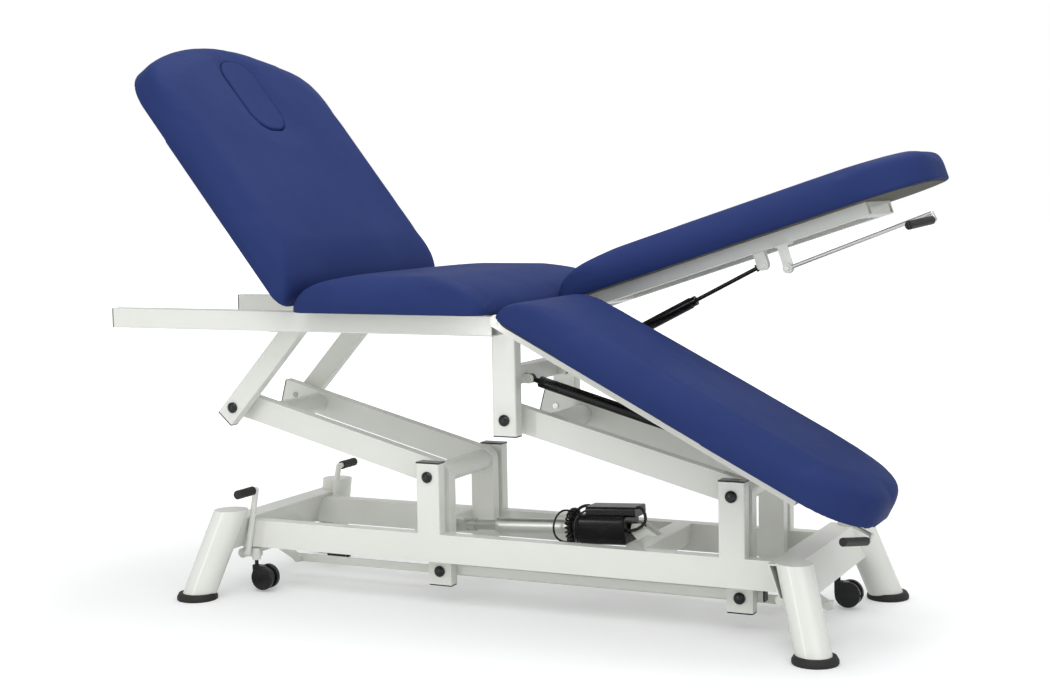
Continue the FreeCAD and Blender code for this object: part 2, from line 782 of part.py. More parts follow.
def right_hanger():
    x = right_pivot_x + arm_dx
    y = -(base_outer + base_inner) / 2
    tube = box_tube(vec(x, y, upper_pivot_z - hanger_end_reach), vec(x, y, top_rail_bottom), vec(0, 1, 0),
                    base_depth, hanger_width)
    return tube.cut(across(x, upper_pivot_z, -base_outer - 1, -base_inner + 1, pivot_bolt_radius))


def end_plug(end, inward, side, width, height):
    """Plastic plug with a thin lid in the open end of a tube."""
    lid = bar(end - inward * 2.5, end, side, width, height, tube_corner)
    wall = arm_wall + 0.2
    inner = bar(end, end + inward * 10, side, width - 2 * wall, height - 2 * wall)
    return lid.fuse(inner)


def top_hardware():
    hanger, pivot, along = left_hanger()
    side = vec(0, 1, 0)
    right_x = right_pivot_x + arm_dx
    y = -(top_rail_outer + top_rail_inner) / 2
    pieces = [
        end_plug(vec(top_rail_left_end, y, top_rail_top - top_rail_height / 2), vec(1, 0, 0), side,
                 top_rail_depth, top_rail_height),
        end_plug(pivot - along * hanger_end_reach, along, side, base_depth, left_hanger_width),
        end_plug(vec(right_x, pivot.y, upper_pivot_z - hanger_end_reach), vec(0, 0, 1), side,
                 base_depth, hanger_width),
        pivot_bolt(pivot.x, pivot.z),
        pivot_bolt(right_x, upper_pivot_z),
    ]
    return pieces + [mirrored(piece) for piece in pieces]


def make_top_frame():
    save("top_rail_front", top_rail())
    save("top_rail_rear", mirrored(top_rail()))
    save("top_crossbars", list(top_crossbars()))
    save("gas_spring_crossbar", gas_crossbar())
    save("hangers_left", both_sides(left_hanger()[0]))
    save("hangers_right", both_sides(right_hanger()))
    save("top_caps_and_bolts", top_hardware())


# Upholstered sections, modelled flat with the hinge at the origin and then turned to their angle

def pad_profile(length, start_curve, end_curve, height):
    """Side profile that trims a pad: a quarter-ellipse shoulder at one or both ends, open elsewhere."""
    rise = height * 1.01
    over = height * 0.5
    angles = [math.radians(8 + 82 * step / 8) for step in range(9)]
    shoulder = [(start_curve * (1 - math.cos(angle)), rise * math.sin(angle)) for angle in angles]
    first = [vec(x, 0, z) for x, z in shoulder]
    foot = vec(-0.5, 0, -1)
    edges = [Part.makeLine(foot, first[0]), curve_through(first)]
    if end_curve > 0:
        last = [vec(length - x * end_curve / start_curve, 0, z) for x, z in reversed(shoulder)]
        heel = vec(length + 0.5, 0, -1)
        edges += [Part.makeLine(first[-1], last[0]), curve_through(last), Part.makeLine(last[-1], heel)]
    else:
        heel = vec(length + over, 0, -1)
        corner = vec(length + over, 0, rise)
        edges += [Part.makeLine(first[-1], corner), Part.makeLine(corner, heel)]
    edges.append(Part.makeLine(heel, foot))
    return Part.Face(Part.Wire(edges))


def curve_through(points):
    curve = Part.BSplineCurve()
    curve.interpolate(points)
    return curve.toShape()


def rounded_outline(corners):
    """Closed outline in XY from (x, y, radius) corners, in order."""
    edges = []
    count = len(corners)
    ends = []
    for index, (x, y, radius) in enumerate(corners):
        here = vec(x, y, 0)
        back = vec(*corners[index - 1][:2], 0) - here
        ahead = vec(*corners[(index + 1) % count][:2], 0) - here
        back.normalize()
        ahead.normalize()
        half = math.acos(max(-1, min(1, back.dot(ahead)))) / 2
        trim = radius / math.tan(half)
        middle = (back + ahead).normalize()
        top = here + middle * (radius / math.sin(half) - radius)
        ends.append((here + back * trim, top, here + ahead * trim))
    for index in range(count):
        first, top, last = ends[index]
        edges.append(Part.Arc(first, top, last).toShape())
        following = ends[(index + 1) % count][0]
        if (following - last).Length > 1e-6:
            edges.append(Part.makeLine(last, following))
    return Part.Wire(edges)


def arched_outline(inset):
    """Backrest outline: straight sides, tight corners and a shallow arch at the head."""
    half = mattress_width / 2 - inset
    start = backrest_pad_start + inset
    end = backrest_length - inset
    big = backrest_arch_radius - inset
    small = backrest_corner_radius - inset
    arch_centre = end - big
    corner_x = arch_centre + math.sqrt((big - small) ** 2 - (half - small) ** 2)
    lean = math.atan2(half - small, corner_x - arch_centre)
    foot = pad_corner_radius
    k = foot * (1 - math.sqrt(0.5))

    def corner(side):
        centre = vec(corner_x, side * (half - small), 0)
        joint = centre + vec(math.cos(lean), side * math.sin(lean), 0) * small
        turn = (lean + math.pi / 2) / 2
        middle = centre + vec(math.cos(turn), side * math.sin(turn), 0) * small
        return vec(corner_x, side * half, 0), middle, joint

    near = corner(-1)
    far = corner(1)
    edges = [
        Part.makeLine(vec(start, half - foot, 0), vec(start, -half + foot, 0)),
        Part.Arc(vec(start, -half + foot, 0), vec(start + k, -half + k, 0), vec(start + foot, -half, 0)).toShape(),
        Part.makeLine(vec(start + foot, -half, 0), near[0]),
        Part.Arc(*near).toShape(),
        Part.Arc(near[2], vec(end, 0, 0), far[2]).toShape(),
        Part.Arc(far[2], far[1], far[0]).toShape(),
        Part.makeLine(far[0], vec(start + foot, half, 0)),
        Part.Arc(vec(start + foot, half, 0), vec(start + k, half - k, 0), vec(start, half - foot, 0)).toShape(),
    ]
    return Part.Wire(edges)


def leg_outline(inset):
    """Leg section outline: square hinge end, wide round tip; Y runs from the gap outwards."""
    near = leg_section_gap / 2 + inset
    far = mattress_width / 2 - inset
    start = leg_pad_start + inset
    end = leg_section_length - inset
    foot = pad_corner_radius
    tip = leg_tip_radius
    return rounded_outline([(start, near, foot), (end, near, tip), (end, far, tip), (start, far, foot)])


def seat_outline(inset):
    half = mattress_width / 2 - inset
    left = seat_left_end + inset
    right = seat_right_end - inset
    foot = pad_corner_radius
    return rounded_outline([(left, -half, foot), (right, -half, foot), (right, half, foot), (left, half, foot)])


def pad(outline, profile, pocket):
    """Upholstered pad: plan outline, softened top edge, shaped ends, and a pocket for its board."""
    solid = Part.Face(outline).extrude(vec(0, 0, pad_thickness))
    rim = [edge for edge in solid.Edges
           if all(abs(vertex.Point.z - pad_thickness) < 0.01 for vertex in edge.Vertexes)]
    solid = solid.makeFillet(pad_edge_radius, rim)
    slab = profile.copy()
    slab.translate(vec(0, -mattress_width, 0))
    solid = solid.common(slab.extrude(vec(0, 2 * mattress_width, 0)))
    return solid.cut(pocket)


def board(outline):
    return Part.Face(outline).extrude(vec(0, 0, board_thickness))


def plug_prism(length, width, low, high):
    """Upright prism of the face hole, centred on its place along the backrest."""
    radius = plug_end_radius + (length - plug_length) / 2
    solid = rounded_rectangle(length, width, radius).extrude(vec(0, 0, high - low))
    solid.translate(vec(plug_centre, 0, low))
    return solid


def turned_backrest(shape):
    """From the flat plan to the rest pose: local +X is along the backrest, away from the hinge."""
    result = shape.copy()
    result.translate(vec(0, 0, hinge_to_board))
    result.rotate(vec(0, 0, 0), vec(0, 0, 1), 180)
    result.rotate(vec(0, 0, 0), vec(0, 1, 0), backrest_angle)
    result.translate(vec(backrest_hinge_x, 0, hinge_height))
    return result


def turned_leg(shape, side, angle):
    """From the flat plan to a leg section's rest pose; side -1 is the near section."""
    result = shape.copy() if side > 0 else mirrored(shape)
    result.translate(vec(0, 0, hinge_to_board))
    result.rotate(vec(0, 0, 0), vec(0, 1, 0), -angle)
    result.translate(vec(leg_hinge_x, 0, hinge_height))
    return result


def make_seat():
    pocket = board(seat_outline(board_inset))
    profile = pad_profile(seat_right_end - seat_left_end, pad_end_curve, pad_end_curve, pad_thickness)
    profile.translate(vec(seat_left_end, 0, 0))
    cushion = pad(seat_outline(0.0), profile, pocket)
    for shape in (cushion, pocket):
        shape.translate(vec(0, 0, board_plane))
    save("seat_cushion", cushion)
    save("seat_board", pocket)


def make_backrest():
    hole = plug_prism(plug_length + 2 * plug_clearance, plug_width + 2 * plug_clearance, -1.0, pad_thickness + 5)
    pocket = board(arched_outline(board_inset))
    profile = pad_profile(backrest_length - backrest_pad_start, pad_end_curve, 0.0, pad_thickness)
    profile.translate(vec(backrest_pad_start, 0, 0))
    cushion = pad(arched_outline(0.0), profile, pocket).cut(hole)
    save("backrest_cushion", turned_backrest(cushion))
    save("backrest_board", turned_backrest(pocket.cut(hole)))
    plug = plug_prism(plug_length, plug_width, 2.0, pad_thickness + plug_crown)
    rim = [edge for edge in plug.Edges
           if all(abs(vertex.Point.z - pad_thickness - plug_crown) < 0.01 for vertex in edge.Vertexes)]
    save("face_plug", turned_backrest(plug.makeFillet(4.0, rim)))
    save("backrest_frame", [turned_backrest(piece) for piece in backrest_frame()])


def side_tube(y, length, height):
    """Frame tube along a section with a round knuckle at the hinge; the top is the board plane."""
    mid = -height / 2
    tube = box_tube(vec(0, y, mid), vec(length, y, mid), vec(0, 1, 0), frame_tube, height, tube_wall, 0.0)
    knuckle = across(0, mid, y - frame_tube / 2, y + frame_tube / 2, height / 2)
    bore = across(0, mid, y - frame_tube, y + frame_tube, hinge_pin_radius + running_clearance)
    return tube.fuse(knuckle).cut(bore)


def backrest_frame():
    """Two side tubes, the crossbar with the gas spring's lugs, and the crossbar at the head."""
    middle = (backrest_tube_outer() + backrest_tube_inner()) / 2
    inner = backrest_tube_inner()
    tubes = [side_tube(side * middle, backrest_frame_length, frame_tube) for side in (-1, 1)]
    for x in (back_spring_along, backrest_frame_length - frame_tube):
        beam = box_tube(vec(x, -inner, -frame_tube / 2), vec(x, inner, -frame_tube / 2), vec(1, 0, 0),
                        frame_tube, frame_tube, tube_wall, 0.0)
        tubes.append(beam)
    return tubes + top_cheeks(back_spring_along, 0.0, spring_top_drop)


def top_cheeks(x, y, drop):
    """Two cheeks under a frame tube that take a spring rod's flat end between them."""
    gap = spring_eye_width / 2 - 1.0
    reach = spring_eye_radius + 2
    pieces = []
    for way in (-1, 1):
        low = min(y + way * gap, y + way * (gap + lug_thickness))
        cheek = box(x - reach, x + reach, low, low + lug_thickness, -hinge_to_board - drop, -frame_tube)
        cheek = cheek.fuse(across(x, -hinge_to_board - drop, low, low + lug_thickness, reach))
        head_y = low - 4 if way < 0 else low + lug_thickness
        head = across(x, -hinge_to_board - drop, head_y, head_y + 4, spring_rod_radius * 1.6)
        pieces.append(cheek.fuse(head))
    return pieces


def leg_frame(side):
    """Rectangular tube frame under a leg section, with the spring's cheeks and the release bracket."""
    inner = leg_frame_inner_face() + frame_tube / 2
    outer = leg_frame_outer_face() - frame_tube / 2
    tubes = [side_tube(y, leg_frame_length, frame_tube) for y in (inner, outer)]
    tubes += top_cheeks(spring_top_along, spring_plane, spring_top_drop)
    for x in (70.0, leg_frame_length - frame_tube / 2):
        tubes.append(box_tube(vec(x, inner + frame_tube / 2, -frame_tube / 2),
                              vec(x, outer - frame_tube / 2, -frame_tube / 2), vec(1, 0, 0),
                              frame_tube, frame_tube, tube_wall, 0.0))
    tubes.append(release_bracket())
    return tubes


def release_bracket():
    """Plate and pin that carry the release lever on the inner side of the inner frame tube."""
    face = leg_frame_inner_face()
    x = release_along
    z = -hinge_to_board - release_drop
    near = release_plane + 6
    top = box(x - 14, x + 14, near, face + frame_tube, -frame_tube - 4, -frame_tube)
    plate = box(x - 10, x + 10, near, near + 4, z, -frame_tube - 4)
    plate = plate.fuse(across(x, z, near, near + 4, 10.0))
    pin = across(x, z, release_plane - 9, near + 4, spring_rod_radius)
    knob = across(x, z, near + 4, near + 12, 8.0)
    return top.fuse([plate, pin, knob]).removeSplitter()


def release_lever(side):
    """Long release rod with a bent end and a grip across it."""
    z0 = -hinge_to_board - release_drop
    z1 = -hinge_to_board - release_tip_drop
    hub = across(release_along, z0, release_plane - 5, release_plane + 5, 9.0)
    hub = hub.cut(across(release_along, z0, release_plane - 6, release_plane + 6, spring_rod_radius + running_clearance))
    tip = vec(release_tip_along, release_plane, z1)
    start = vec(release_along + 8, release_plane, z0)
    shaft = round_bar(start, tip, release_rod_radius)
    drop = vec(release_tip_along + 2, release_plane, z1 - 12)
    joint = round_bar(tip, drop, release_rod_radius)
    turn = math.radians(release_grip_turn)
    near = vec(-math.sin(turn), -side * math.cos(turn), 0)
    out = drop + near * 12
    grip_end = out + near * release_grip_length
    post_bar = round_bar(drop, out, release_rod_radius)
    grip = round_bar(out, grip_end, grip_radius)
    balls = [Part.makeSphere(release_rod_radius, point) for point in (tip, drop)]
    lever = hub.fuse([shaft, joint, post_bar] + balls)
    return lever.fuse(grip).removeSplitter()


def make_leg_section(name, side, angle):
    pocket = board(leg_outline(board_inset))
    profile = pad_profile(leg_section_length - leg_pad_start, pad_end_curve, 0.0, pad_thickness)
    profile.translate(vec(leg_pad_start, 0, 0))
    cushion = pad(leg_outline(0.0), profile, pocket)
    save("leg_cushion_" + name, turned_leg(cushion, side, angle))
    save("leg_board_" + name, turned_leg(pocket, side, angle))
    save("leg_frame_" + name, [turned_leg(piece, side, angle) for piece in leg_frame(side)])
    lever = release_lever(side)
    save("release_lever_" + name, turned_leg(lever, side, angle))


# Gas springs

def gas_cylinder(base, toward, end):
    """Cylinder with its lower eye, bored for the rod."""
    along = (toward - base) * (1 / (toward - base).Length)
    half = spring_eye_width / 2
    eye = round_bar(base - vec(0, half, 0), base + vec(0, half, 0), spring_eye_radius)
    hole = spring_rod_radius + running_clearance
    seal = spring_cylinder_radius - 1.5
    profile = [(half - 1, spring_eye_radius - 3), (half - 1, 17), (spring_cylinder_radius - 2, 19),
               (spring_cylinder_radius, 21), (spring_cylinder_radius, end - 12), (seal, end - 11),
               (seal, end), (hole, end), (hole, 28)]
    body = turned(profile, base, along)
    bore = round_bar(base - vec(0, 20, 0), base + vec(0, 20, 0), hole)
    return eye.fuse(body).cut(bore)


def gas_rod(base, top, length):
    """Rod with the flat end that lies between the upper cheeks."""
    along = (top - base) * (1 / (top - base).Length)
    rod = round_bar(top - along * length, top - along * 12, spring_rod_radius)
    flat = bar(top - along * 16, top, vec(0, 1, 0), 6.0, 14.0, 2.0)
    tip = round_bar(top - vec(0, 3, 0), top + vec(0, 3, 0), 7.0)
    return rod.fuse([flat, tip]).removeSplitter()


def leg_spring_top(side, angle):
    turn = math.radians(angle)
    x = leg_hinge_x + spring_top_along * math.cos(turn) + spring_top_drop * math.sin(turn)
    z = hinge_height + spring_top_along * math.sin(turn) - spring_top_drop * math.cos(turn)
    return vec(x, side * spring_plane, z)


def backrest_spring_top():
    turn = math.radians(backrest_angle)
    along = back_spring_along
    drop = spring_top_drop
    x = backrest_hinge_x - along * math.cos(turn) - drop * math.sin(turn)
    z = hinge_height + along * math.sin(turn) - drop * math.cos(turn)
    return vec(x, 0, z)


def make_springs():
    for name, side, angle in (("front", -1, front_leg_angle), ("rear", 1, rear_leg_angle)):
        base = vec(spring_base_x, side * spring_plane, spring_base_z)
        top = leg_spring_top(side, angle)
        save("leg_gas_cylinder_" + name, gas_cylinder(base, top, spring_cylinder_end))
        save("leg_gas_rod_" + name, gas_rod(base, top, spring_rod_length))
    base = vec(back_spring_base_x, 0, back_spring_base_z)
    top = backrest_spring_top()
    save("backrest_gas_cylinder", gas_cylinder(base, top, back_spring_cylinder_end))
    save("backrest_gas_rod", gas_rod(base, top, back_spring_rod_length))


# Castors

def castor_socket(axle_x, side):
    """Arm and socket that carry one castor's stem on the axle."""
    y = side * castor_plane
    x = axle_x + stem_offset
    arm = box(axle_x, x, y - 7, y + 7, castor_axle_z - 8, castor_axle_z + 8)
    socket = round_bar(vec(x, y, castor_axle_z - 14), vec(x, y, castor_axle_z + 10), socket_radius)
    bore = round_bar(vec(x, y, castor_axle_z - 15), vec(x, y, castor_axle_z + 6), stem_radius + running_clearance)
    return arm.fuse(socket).cut(bore)


def sync_crank(axle_x):
    """Short crank on an axle that the bar between the axles pulls."""
    y0 = sync_bar_y - sync_bar_depth / 2 - 1 - 5
    y1 = y0 + 5
    pin_x = axle_x + sync_pin_x
    pin_z = castor_axle_z - sync_pin_drop
    start = vec(axle_x, (y0 + y1) / 2, castor_axle_z)
    end = vec(pin_x, (y0 + y1) / 2, pin_z)
    plate = bar(start, end, vec(0, 1, 0), 5, 18)
    plate = plate.fuse(across(pin_x, pin_z, y0, y1, 9.0))
    return plate.cut(across(pin_x, pin_z, y0 - 1, y1 + 1, stem_radius + pivot_clearance))


def castor_axle(axle_x, reach):
    axle = across(axle_x, castor_axle_z, -reach, reach, castor_axle_radius)
    pieces = [castor_socket(axle_x, side) for side in (-1, 1)] + [sync_crank(axle_x)]
    return axle.fuse(pieces)


def pedal_lever(axle_x):
    """Near-side foot lever, without its grip."""
    y = -(base_outer + pedal_plane_gap + pedal_radius)
    foot = vec(axle_x, y, castor_axle_z)
    bend = foot + vec(pedal_offset, 0, 0)
    top = bend + vec(pedal_lean, 0, pedal_rise)
    tip = top - vec(0, 12 + pedal_grip_length, 0)
    parts = [round_bar(foot, bend, pedal_radius), Part.makeSphere(pedal_radius, bend),
             round_bar(bend, top, pedal_radius), Part.makeSphere(pedal_radius, top),
             round_bar(top, tip, pedal_radius), Part.makeSphere(castor_axle_radius, foot)]
    grip_start = top - vec(0, 12, 0)
    grip = round_bar(grip_start, tip, grip_radius + 1)
    sleeve = grip.cut(round_bar(top, tip + vec(0, -1, 0), pedal_radius))
    cap = round_bar(tip, tip - vec(0, 4, 0), grip_radius + 1)
    return parts[0].fuse(parts[1:]), sleeve.fuse(cap).removeSplitter()


def sync_bar():
    """Flat bar between the two axles' cranks, with its capped pins."""
    z = castor_axle_z - sync_pin_drop
    x0 = castor_axle_left_x + sync_pin_x
    x1 = castor_axle_right_x + sync_pin_x
    y0 = sync_bar_y - sync_bar_depth / 2
    flat = box(x0 - 8, x1 + 8, y0, y0 + sync_bar_depth, z - sync_bar_height / 2, z + sync_bar_height / 2)
    pieces = []
    for x in (x0, x1):
        pieces.append(across(x, z, y0 - 7, y0 + sync_bar_depth, stem_radius))
        pieces.append(across(x, z, y0 - 12, y0 - 7, sync_bar_height / 2))
    return flat.fuse(pieces).removeSplitter()


def castor_body(axle_x, side):
    """Stem and central body of a twin-wheel castor."""
    y = side * castor_plane
    stem_x = axle_x + stem_offset
    wheel_x = stem_x + castor_trail
    half = castor_body_width / 2
    stem = round_bar(vec(stem_x, y, wheel_centre_z + 16), vec(stem_x, y, castor_axle_z + 4), stem_radius)
    core = across(wheel_x, wheel_centre_z, y - half, y + half, castor_wheel_radius - 4)
    neck = box(stem_x - 7, wheel_x, y - half, y + half, wheel_centre_z, wheel_centre_z + 24)
    bore = across(wheel_x, wheel_centre_z, y - half - 1, y + half + 1, 3.0 + running_clearance)
    return stem.fuse([core, neck]).removeSplitter().cut(bore)


def castor_wheels(axle_x, side):
    y = side * castor_plane
    x = axle_x + stem_offset + castor_trail
    gap = castor_body_width / 2 + 0.5
    solid = across(x, wheel_centre_z, y - gap - 1, y + gap + 1, 3.0)
    for way in (-1, 1):
        y0 = y + way * gap
        y1 = y0 + way * castor_wheel_width
        wheel = across(x, wheel_centre_z, y0, y1, castor_wheel_radius)
        rim = [edge for edge in wheel.Edges if abs(edge.Length - 2 * math.pi * castor_wheel_radius) < 0.5]
        solid = solid.fuse(wheel.makeFillet(1.5, rim))
    return solid


def make_castors():
    pedal_plane = base_outer + pedal_plane_gap + pedal_radius
    pedal, grip = pedal_lever(castor_axle_left_x)
    left = castor_axle(castor_axle_left_x, pedal_plane).fuse([pedal, mirrored(pedal)])
    save("castor_axle_left", left)
    save("pedal_grips", both_sides(grip))
    save("castor_axle_right", castor_axle(castor_axle_right_x, castor_plane + socket_radius))
    save("castor_sync_bar", sync_bar())
    for end, axle_x in (("left", castor_axle_left_x), ("right", castor_axle_right_x)):
        for place, side in (("front", -1), ("rear", 1)):
            name = end + "_" + place
            save("castor_body_" + name, castor_body(axle_x, side))
            save("castor_wheels_" + name, castor_wheels(axle_x, side))


def main():
    make_base()
    make_lift()
    make_actuator()
    make_top_frame()
    make_seat()
    make_backrest()
    make_leg_section("front", -1, front_leg_angle)
    make_leg_section("rear", 1, rear_leg_angle)
    make_springs()
    make_castors()
    export_all()


main()
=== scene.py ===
import json
import math

import bpy
from mathutils import Euler, Matrix, Vector


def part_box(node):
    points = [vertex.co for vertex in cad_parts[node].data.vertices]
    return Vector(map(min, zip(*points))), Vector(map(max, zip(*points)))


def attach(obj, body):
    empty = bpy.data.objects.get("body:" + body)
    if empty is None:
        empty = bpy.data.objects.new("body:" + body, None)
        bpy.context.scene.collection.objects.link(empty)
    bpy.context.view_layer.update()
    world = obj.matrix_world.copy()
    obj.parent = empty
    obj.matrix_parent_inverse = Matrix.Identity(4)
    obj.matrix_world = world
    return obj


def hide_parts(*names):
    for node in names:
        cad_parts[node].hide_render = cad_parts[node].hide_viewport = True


# Treatment table with blue vinyl cushions on a white powder-coated lifting base.
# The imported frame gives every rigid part. This file adds the upholstery, the curly cable, the finishes,
# the light and the camera.

print("loading the frame")
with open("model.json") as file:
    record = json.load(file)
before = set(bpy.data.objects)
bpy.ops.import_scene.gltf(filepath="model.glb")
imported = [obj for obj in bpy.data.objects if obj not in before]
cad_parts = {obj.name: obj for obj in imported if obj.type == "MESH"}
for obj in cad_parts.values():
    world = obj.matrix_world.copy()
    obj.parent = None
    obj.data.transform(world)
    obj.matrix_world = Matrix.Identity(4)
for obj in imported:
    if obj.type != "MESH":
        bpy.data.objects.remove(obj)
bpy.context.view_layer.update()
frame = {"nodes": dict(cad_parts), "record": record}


# Shared helpers

def selectOnly(piece):
    bpy.ops.object.select_all(action="DESELECT")
    piece.select_set(True)
    bpy.context.view_layer.objects.active = piece


def applyModifiers(piece):
    selectOnly(piece)
    for modifier in list(piece.modifiers):
        bpy.ops.object.modifier_apply(modifier=modifier.name)


def nodeMaterial(name):
    material = bpy.data.materials.new(name)
    material.use_nodes = True
    nodes = material.node_tree.nodes
    return material, nodes, material.node_tree.links, nodes["Principled BSDF"]


def linearColour(red, green, blue):
    channels = []
    for value in (red, green, blue):
        share = value / 255
        channels.append(share / 12.92 if share <= 0.04045 else ((share + 0.055) / 1.055) ** 2.4)
    return (*channels, 1.0)


grainDetail = 4.0


def makeGrainGroup():
    # fine surface grain that several finishes share
    group = bpy.data.node_groups.new("surfaceGrain", "ShaderNodeTree")
    for name, kind, value in (
        ("Scale", "NodeSocketFloat", 400.0),
        ("Distortion", "NodeSocketFloat", 0.4),
        ("Strength", "NodeSocketFloat", 0.1),
        ("Depth", "NodeSocketFloat", 0.001),
    ):
        socket = group.interface.new_socket(name, in_out="INPUT", socket_type=kind)
        socket.default_value = value
    group.interface.new_socket("Normal", in_out="OUTPUT", socket_type="NodeSocketVector")
    group.interface.new_socket("Height", in_out="OUTPUT", socket_type="NodeSocketFloat")
    nodes, links = group.nodes, group.links
    entry = nodes.new("NodeGroupInput")
    leave = nodes.new("NodeGroupOutput")
    place = nodes.new("ShaderNodeTexCoord")
    noise = nodes.new("ShaderNodeTexNoise")
    noise.inputs["Detail"].default_value = grainDetail
    bump = nodes.new("ShaderNodeBump")
    links.new(place.outputs["Object"], noise.inputs["Vector"])
    links.new(entry.outputs["Scale"], noise.inputs["Scale"])
    links.new(entry.outputs["Distortion"], noise.inputs["Distortion"])
    links.new(entry.outputs["Strength"], bump.inputs["Strength"])
    links.new(entry.outputs["Depth"], bump.inputs["Distance"])
    links.new(noise.outputs["Fac"], bump.inputs["Height"])
    links.new(bump.outputs["Normal"], leave.inputs["Normal"])
    links.new(noise.outputs["Fac"], leave.inputs["Height"])
    return group


def addGrain(nodes, links, shader, grainGroup, settings):
    grain = nodes.new("ShaderNodeGroup")
    grain.node_tree = grainGroup
    for name, value in settings.items():
        grain.inputs[name].default_value = value
    links.new(grain.outputs["Normal"], shader.inputs["Normal"])
    return grain


def mixColours(nodes, links, factor, first, second):
    mix = nodes.new("ShaderNodeMix")
    mix.data_type = "RGBA"
    mix.inputs["A"].default_value = first
    mix.inputs["B"].default_value = second
    links.new(factor, mix.inputs["Factor"])
    return mix.outputs["Result"]


def valueRange(nodes, links, value, low, high, toLow, toHigh):
    ramp = nodes.new("ShaderNodeMapRange")
    ramp.inputs["From Min"].default_value = low
    ramp.inputs["From Max"].default_value = high
    ramp.inputs["To Min"].default_value = toLow
    ramp.inputs["To Max"].default_value = toHigh
    links.new(value, ramp.inputs["Value"])
    return ramp.outputs["Result"]


maskRange = (0.3, 0.7)


def roughFrom(nodes, links, shader, mask, settings):
    # roughness between the finish's two values, led by a mask
    low, high = maskRange
    rough = valueRange(nodes, links, mask, low, high, settings["roughLow"], settings["roughHigh"])
    links.new(rough, shader.inputs["Roughness"])


def cloudNoise(nodes, links, scale, detail=3.0):
    place = nodes.new("ShaderNodeTexCoord")
    noise = nodes.new("ShaderNodeTexNoise")
    noise.inputs["Scale"].default_value = scale
    noise.inputs["Detail"].default_value = detail
    links.new(place.outputs["Object"], noise.inputs["Vector"])
    return noise.outputs["Fac"]


# Finishes

paintSettings = {
    "colour": linearColour(239, 240, 234),
    "shade": linearColour(231, 233, 226),
    "cloudScale": 9.0,
    "roughLow": 0.12,
    "roughHigh": 0.20,
    "gloss": 0.45,
    "grain": {"Scale": 520.0, "Distortion": 0.2, "Strength": 0.05, "Depth": 0.0006},
}


def makeWhitePaint(grainGroup):
    # Glossy powder coat: faint orange peel and slow changes of tone.
    material, nodes, links, shader = nodeMaterial("whitePaint")
    cloud = cloudNoise(nodes, links, paintSettings["cloudScale"])
    tone = mixColours(nodes, links, cloud, paintSettings["colour"], paintSettings["shade"])
    links.new(tone, shader.inputs["Base Color"])
    roughFrom(nodes, links, shader, cloud, paintSettings)
    shader.inputs["Specular IOR Level"].default_value = paintSettings["gloss"]
    addGrain(nodes, links, shader, grainGroup, paintSettings["grain"])
    return material


vinylSettings = {
    "colour": linearColour(45, 60, 112),
    "deep": linearColour(40, 53, 101),
    "cloudScale": 5.0,
    "roughLow": 0.50,
    "roughHigh": 0.60,
    "gloss": 0.04,
    "pebbleScale": 900.0,
    "pebbleStrength": 0.22,
    "pebbleDepth": 0.0008,
    "creaseScale": 14.0,
    "creaseDetail": 2.0,
    "creaseTwist": 0.6,
    "creaseStrength": 0.12,
    "creaseDepth": 0.01,
}


def makeBlueVinyl():
    # Soft upholstery vinyl: pebbled grain over slow, shallow creases.
    material, nodes, links, shader = nodeMaterial("blueVinyl")
    place = nodes.new("ShaderNodeTexCoord")
    cloud = cloudNoise(nodes, links, vinylSettings["cloudScale"])
    tone = mixColours(nodes, links, cloud, vinylSettings["colour"], vinylSettings["deep"])
    links.new(tone, shader.inputs["Base Color"])
    roughFrom(nodes, links, shader, cloud, vinylSettings)
    shader.inputs["Specular IOR Level"].default_value = vinylSettings["gloss"]
    pebbles = nodes.new("ShaderNodeTexVoronoi")
    pebbles.feature = "SMOOTH_F1"
    pebbles.inputs["Scale"].default_value = vinylSettings["pebbleScale"]
    links.new(place.outputs["Object"], pebbles.inputs["Vector"])
    creases = nodes.new("ShaderNodeTexNoise")
    creases.inputs["Scale"].default_value = vinylSettings["creaseScale"]
    creases.inputs["Detail"].default_value = vinylSettings["creaseDetail"]
    creases.inputs["Distortion"].default_value = vinylSettings["creaseTwist"]
    links.new(place.outputs["Object"], creases.inputs["Vector"])
    slow = nodes.new("ShaderNodeBump")
    slow.inputs["Strength"].default_value = vinylSettings["creaseStrength"]
    slow.inputs["Distance"].default_value = vinylSettings["creaseDepth"]
    links.new(creases.outputs["Fac"], slow.inputs["Height"])
    fine = nodes.new("ShaderNodeBump")
    fine.inputs["Strength"].default_value = vinylSettings["pebbleStrength"]
    fine.inputs["Distance"].default_value = vinylSettings["pebbleDepth"]
    links.new(pebbles.outputs["Distance"], fine.inputs["Height"])
    links.new(slow.outputs["Normal"], fine.inputs["Normal"])
    links.new(fine.outputs["Normal"], shader.inputs["Normal"])
    return material


plasticSettings = {
    "cloudScale": 60.0,
    "colour": linearColour(14, 14, 16),
    "worn": linearColour(24, 24, 26),
    "roughLow": 0.18,
    "roughHigh": 0.30,
    "grain": {"Scale": 700.0, "Distortion": 0.1, "Strength": 0.15, "Depth": 0.0006},
    "steel": linearColour(176, 176, 172),
    "steelInside": 0.1265,
}


